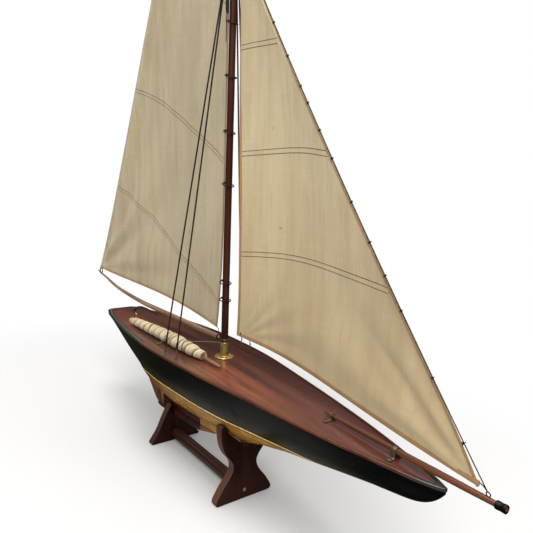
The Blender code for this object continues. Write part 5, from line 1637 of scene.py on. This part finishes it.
def roll_solid():
    rings = tube_rings(roll_rows, ROLL_SIDES, shape=roll_shape)[0]
    # draw the forward end into the hole round the spar, in coiled steps
    end = Vector(roll_rows[-1][:3])
    hub = SPAR_IN.lerp(SPAR_TIP, (end.x - SPAR_IN.x) / (SPAR_TIP.x - SPAR_IN.x))
    inward = (Vector(roll_rows[-2][:3]) - end).normalized()
    end_ring = rings[-1]
    for scale, depth in ROLL_MOUTH:
        center = end.lerp(hub, 1 - scale)
        ring = []
        for vertex in end_ring:
            arm = vertex - end
            # the innermost rings are round and close on the spar
            fit = 1.0 if scale > 0.44 else 0.0039 / (arm.length * scale)
            ring.append(center + arm * scale * fit + inward * depth)
        rings.append(ring)
    verts, faces = strip(rings)
    faces.append(tuple(reversed(range(len(verts) - ROLL_SIDES, len(verts)))))
    # close the after end with a gathered, rounded cap
    center = Vector(roll_rows[0][:3])
    back = (center - Vector(roll_rows[1][:3])).normalized()
    before = 0
    for scale, depth in ROLL_CAP:
        base = len(verts)
        for k in range(ROLL_SIDES):
            pleat = 1.0 + 0.05 * math.cos(k * TAU / ROLL_SIDES * 7)
            verts.append(center + (rings[0][k] - center) * scale * pleat + back * depth)
        for k in range(ROLL_SIDES):
            j = (k + 1) % ROLL_SIDES
            faces.append((before + j, before + k, base + k, base + j))
        before = base
    faces.append(tuple(before + k for k in range(ROLL_SIDES)))
    return verts, faces


add("rolled_sail", roll_solid(), ROLL_M, "yacht", "roll_cloth", "spare_sail_roll", sharp=50)
spar_run = (SPAR_TIP - SPAR_IN).normalized()
add("rolled_sail_spar", curve([
    (*(SPAR_IN + spar_run * 0.0010), 0.0033), (*SPAR_IN.lerp(SPAR_TIP, 0.6), 0.0032),
    (*(SPAR_TIP - spar_run * 0.008), 0.0030), (*SPAR_TIP, 0.0021)], 50, 18),
    SPAR_WOOD_M, "yacht", "spar_wood", "spare_sail_spar")


def roll_at(x):
    """The roll's (x, y, z, radius) row at x."""
    for here, ahead in zip(roll_rows, roll_rows[1:]):
        if here[0] <= x <= ahead[0]:
            part = (x - here[0]) / (ahead[0] - here[0])
            return [mix(low, high, part) for low, high in zip(here, ahead)]
    return roll_rows[-1]


def cord_turn(start_x, advance, turns, radius, lift, start, count=90):
    """A cord wound on the roll, moving forward by 'advance' over its turns."""
    rows = []
    for i in range(count + 1):
        part = i / count
        x, y, z, reach = roll_at(start_x + advance * part)
        angle = start + TAU * turns * part
        reach += lift
        rows.append((x, y + reach * math.cos(angle), z + reach * math.sin(angle), radius))
    return sweep(rows, 8)


add("roll_tie", cord_turn(0.0062, advance=0.0030, turns=2.2, radius=0.00075, lift=0.0009,
                          start=0.4),
    PALE_CORD_M, "yacht", "roll_cloth", "spare_sail_tie")
knot_x, knot_y, knot_z, knot_r = roll_at(-0.062)


def knot_curve(rows, count, sides):
    """A cord through rows of x offset, y and z offsets in roll radii, and cord radius."""
    return curve([(knot_x + ahead, knot_y + knot_r * out, knot_z + knot_r * rise, radius)
                  for ahead, out, rise, radius in rows], count, sides)


add("roll_cords", join_parts([
    cord_turn(-0.1830, advance=0.0340, turns=1.1, radius=0.0009, lift=0.0004, start=2.6),
    cord_turn(-0.0560, advance=0.0110, turns=1.3, radius=0.0006, lift=0.0001, start=1.0),
    knot_curve([(0, -0.90, 0.45, 0.0012), (0.006, -1.02, 0.30, 0.0020),
                (0.014, -0.98, 0.42, 0.0014)], 20, 10),
    knot_curve([(0.004, -1.02, 0.2, 0.0008), (-0.006, -1.20, -0.3, 0.0008),
                (-0.018, -1.45, -0.95, 0.0009), (-0.030, -1.50, -1.02, 0.0007)], 30, 8)]),
    PALE_CORD_M, "yacht", "roll_cloth")
add("roll_loose_line", curve([
    (0.010, -0.0535, 0.2978, 0.0006), (0.030, -0.036, 0.3000, 0.0006),
    (0.050, -0.018, 0.3018, 0.0006), (0.0640, -0.0066, 0.3022, 0.0006)], 40, 8),
    PALE_CORD_M, "yacht", "roll_cloth")

# ================================================================ cradle
PLATE_FACE, PLATE_BACK = PLATE_X + PLATE_T / 2, PLATE_X - PLATE_T / 2
# half outlines of the boards, from the floor up their outer edge; y, z
FORE_OUTER = [
    (0.0610, 0.0), (0.0650, 0.0016), (0.0664, 0.0055), (0.0650, 0.0120), (0.0600, 0.0205),
    (0.0490, 0.0370), (0.0385, 0.0500), (0.0318, 0.0610), (0.0286, 0.0700), (0.0286, 0.0780),
    (0.0322, 0.0865), (0.0396, 0.0960), (0.0470, 0.1060), (0.0527, 0.1175), (0.0564, 0.1305),
    (0.0586, 0.1450), (0.0592, 0.1540), (0.0590, 0.1600), (0.0576, 0.1646), (0.0556, 0.1664),
    (0.0534, 0.1658)]
AFT_HALF = [
    (0.0600, 0.0), (0.0632, 0.0014), (0.0640, 0.0046), (0.0600, 0.0100), (0.0530, 0.0200),
    (0.0470, 0.0290), (0.0400, 0.0430), (0.0345, 0.0560), (0.0282, 0.0690), (0.0226, 0.0800),
    (0.0184, 0.0870), (0.0152, 0.0918), (0.0130, 0.0934), (0.0114, 0.0928), (0.0102, 0.0905),
    (0.0097, 0.0860), (0.0092, 0.0760), (0.0092, SLOT_Z)]


def hull_height(x, y):
    """Height of the hull's outside at x and y."""
    rows = section(x, 24)[3:]
    for (y0, z0), (y1, z1) in zip(rows, rows[1:]):
        if y0 <= y <= y1 and y1 > y0:
            return z0 + (z1 - z0) * (y - y0) / (y1 - y0)
    return rows[0][1] if y < rows[0][0] else sheer(x)


def fore_half():
    """The fore board's half outline, cut inside to the hull that rests on it."""
    inner = []
    for y in (0.0516, 0.0495, 0.0470, 0.0430, 0.0360, 0.0290, 0.0220, 0.0160):
        rest = min(hull_height(PLATE_BACK, y), hull_height(PLATE_FACE, y))
        if y > 0.0450:
            inner.append((y, min(0.1656, rest - 0.0008)))
        else:
            inner.append((y, min(rest - 0.0015, 0.1211 + 0.96 * (y - 0.0106))))
    return FORE_OUTER + inner + [(0.0106, 0.1211), (0.0066, 0.1172),
                                 (0.0058, keel_line(PLATE_BACK) - 0.0010)]


def stretcher_bore(side):
    return bore((side * 0.110, 0, STRETCHER_Z), (side * 0.175, 0, STRETCHER_Z), 0.0024, 20)


# radius, distance from the cradle's middle
CRADLE_SCREW = ((0, 0.1140), (0.0012, 0.1145), (0.0019, 0.1160), (0.0019, PLATE_FACE - 0.0021),
                (0.0038, PLATE_FACE - 0.0004), (0.0036, PLATE_FACE - 0.0002),
                (0, PLATE_FACE - 0.0002))


def lengthways(side):
    """Places a turned shape along x at the stretcher's height."""
    return Matrix.Translation((0, 0, STRETCHER_Z)) @ Matrix.Rotation(side * math.pi / 2, 4, "Y")


for tag, side, half in (("fore", 1.0, fore_half()), ("aft", -1.0, AFT_HALF)):
    outline = soften(half + [(-y, z) for y, z in reversed(half)], corner=40, step=0.0022)
    plate = bake(board("cradle_%s_board" % tag, outline, "x", side * PLATE_X - PLATE_T / 2,
                       side * PLATE_X + PLATE_T / 2, STAND_WOOD_M, bevel=0.0014, segments=4,
                       angle=55))
    countersink = lathe([(0, 0), (0.0022, 0), (0.0052, 0.0032), (0, 0.0032)], 28,
                        along((side * (PLATE_FACE - 0.0024), 0, STRETCHER_Z),
                              (side * (PLATE_FACE + 0.0008), 0, STRETCHER_Z)))
    cut(plate, stretcher_bore(side), cutter(countersink))
    settle(bake(plate), "stand", "stand_wood", "cradle_plate_" + tag)
    groove = box_cutter(Vector((side * (PLATE_FACE - 0.0002), 0, STRETCHER_Z)),
                        Vector((0.0006, 0, 0)), ACROSS * 0.0045, UP * 0.00035)
    add("cradle_brass_screw_" + tag, lathe(CRADLE_SCREW, 28, lengthways(side)), BRASS_M,
        "stand", "brass", "cradle_screw_" + tag, sharp=30, tools=[groove])

# round bar between the boards
bar_end = PLATE_BACK - GAP
profile = [(0, -bar_end), (STRETCHER_R - 0.0004, -bar_end), (STRETCHER_R, -bar_end + 0.0004)]
profile += [(STRETCHER_R, mix(-bar_end + 0.0004, bar_end - 0.0004, k / 40))
            for k in range(1, 40)]
profile += [(STRETCHER_R, bar_end - 0.0004), (STRETCHER_R - 0.0004, bar_end), (0, bar_end)]
add("cradle_bar", lathe(profile, 48, lengthways(1)), BAR_WOOD_M, "stand", "stand_wood",
    "cradle_stretcher", tools=[stretcher_bore(1.0), stretcher_bore(-1.0)])

# pieces inside the hull keep their CAD shape and take a finish
for node, material, slot in (
        ("deck_beam_aft", PALE_WOOD_M, "inner_wood"), ("deck_beam_mid", PALE_WOOD_M, "inner_wood"),
        ("deck_beam_fore", PALE_WOOD_M, "inner_wood"), ("mast_step", PALE_WOOD_M, "inner_wood"),
        ("keel_bolt_fore", BRASS_M, "brass"), ("keel_bolt_aft", BRASS_M, "brass")):
    obj = frame["nodes"][node]
    obj.data.materials.clear()
    obj.data.materials.append(material)

for obj in list(workshop.objects):
    bpy.data.objects.remove(obj, do_unlink=True)
bpy.data.collections.remove(workshop)

# ================================================================ studio
scene = bpy.context.scene


def floor_material():
    """Pale paper that polished faces see as dark near the yacht."""
    mat = Shading("studio_floor")
    rays = mat.new("ShaderNodeLightPath").outputs
    x, y, _ = mat.axes()
    wide = mat.math("POWER", mat.multiply(y, 1.6), 2.0)
    distance = mat.math("SQRT", mat.add(mat.math("POWER", x, 2.0), wide))
    dim = mat.multiply(rays["Is Glossy Ray"],
                       mat.ramp(distance, over=(0.10, 0.42), to=(0.72, 1.0)))
    color = mat.blend(dim, (0.90, 0.90, 0.90), (0.026, 0.024, 0.016))
    color = mat.blend(rays["Is Camera Ray"], color, (0.66, 0.66, 0.665))
    mat.finish(color, 0.9, specular=0.1)
    # far from the yacht the paper runs into the white of the backdrop
    glow = mat.new("ShaderNodeEmission")
    glow.inputs["Color"].default_value = (1.0, 1.0, 1.0, 1.0)
    join = mat.new("ShaderNodeMixShader")
    far = mat.ramp(distance, over=(0.75, 1.50))
    mat.link(mat.multiply(rays["Is Camera Ray"], far), join.inputs[0])
    mat.link(mat.bsdf.outputs[0], join.inputs[1])
    mat.link(glow.outputs[0], join.inputs[2])
    mat.link(join.outputs[0], mat.tree.nodes["Material Output"].inputs["Surface"])
    return mat.material


mesh = bpy.data.meshes.new("floor")
mesh.from_pydata([(-30, -30, 0), (30, -30, 0), (30, 30, 0), (-30, 30, 0)], [], [(0, 1, 2, 3)])
floor = bpy.data.objects.new("floor", mesh)
scene.collection.objects.link(floor)
mesh.materials.append(floor_material())


def build_world():
    """A soft room brighter overhead, seen by the camera as plain white."""
    world = bpy.data.worlds.new("studio")
    scene.world = world
    world.use_nodes = True
    room = Nodes(world.node_tree)
    room.tree.nodes.clear()
    out = room.new("ShaderNodeOutputWorld")
    height = room.split(room.new("ShaderNodeTexCoord").outputs["Generated"])[2]
    diffuse = room.ramp(height, over=(0.02, 0.75), to=(0.26, 0.90))
    # polished faces see a darker room that is only bright overhead
    mirror = room.ramp(height, over=(0.30, 0.95), to=(0.022, 0.90))
    rays = room.new("ShaderNodeLightPath").outputs
    swap = room.new("ShaderNodeMix", data_type="FLOAT")
    for i, socket in ((0, rays["Is Glossy Ray"]), (2, diffuse), (3, mirror)):
        room.link(socket, swap.inputs[i])
    backdrops = []
    for color, strength in (((1.0, 0.995, 0.985), swap.outputs[0]), ((1.0, 1.0, 1.0), 1.0)):
        backdrop = room.new("ShaderNodeBackground")
        room.feed(backdrop.inputs["Color"], color)
        room.feed(backdrop.inputs["Strength"], strength)
        backdrops.append(backdrop.outputs[0])
    pick = room.new("ShaderNodeMixShader")
    for i, socket in enumerate((rays["Is Camera Ray"], *backdrops)):
        room.link(socket, pick.inputs[i])
    room.link(pick.outputs[0], out.inputs["Surface"])


def area_light(name, place, target, size, power, color):
    light = bpy.data.lights.new(name, "AREA")
    light.shape = "SQUARE"
    light.size = size
    light.energy = power
    light.color = color
    obj = bpy.data.objects.new(name, light)
    scene.collection.objects.link(obj)
    place, target = Vector(place), Vector(target)
    obj.location = place
    obj.rotation_mode = "QUATERNION"
    obj.rotation_quaternion = (target - place).to_track_quat("-Z", "Y")


build_world()
area_light("key_light", place=(0.55, -0.55, 3.1), target=(0.0, 0, 0.2), size=1.6, power=80.0,
           color=(1.0, 0.985, 0.96))
area_light("front_light", place=(2.3, -2.2, 2.5), target=(0, 0, 0.5), size=2.2, power=46.0,
           color=(1.0, 0.99, 0.975))

CAMERA_PLACE = Vector((0.98794, -0.58543, 0.63376))
lens = bpy.data.cameras.new("camera")
camera = bpy.data.objects.new("camera", lens)
scene.collection.objects.link(camera)
right = Vector((0.5942, 0.8035, 0.0369)).normalized()
forward = Vector((-0.7912, 0.5921, -0.1527)).normalized()
right = (right - forward * right.dot(forward)).normalized()
above = right.cross(forward).normalized()
camera.matrix_world = SHIFT @ Matrix((
    *((right[i], above[i], -forward[i], CAMERA_PLACE[i]) for i in range(3)), (0, 0, 0, 1)))
lens.sensor_width = 36
lens.sensor_fit = "HORIZONTAL"
lens.lens = 36.5214259
lens.clip_start = 0.01
lens.clip_end = 100
scene.camera = camera
scene.view_settings.view_transform = "Standard"

bpy.context.view_layer.update()
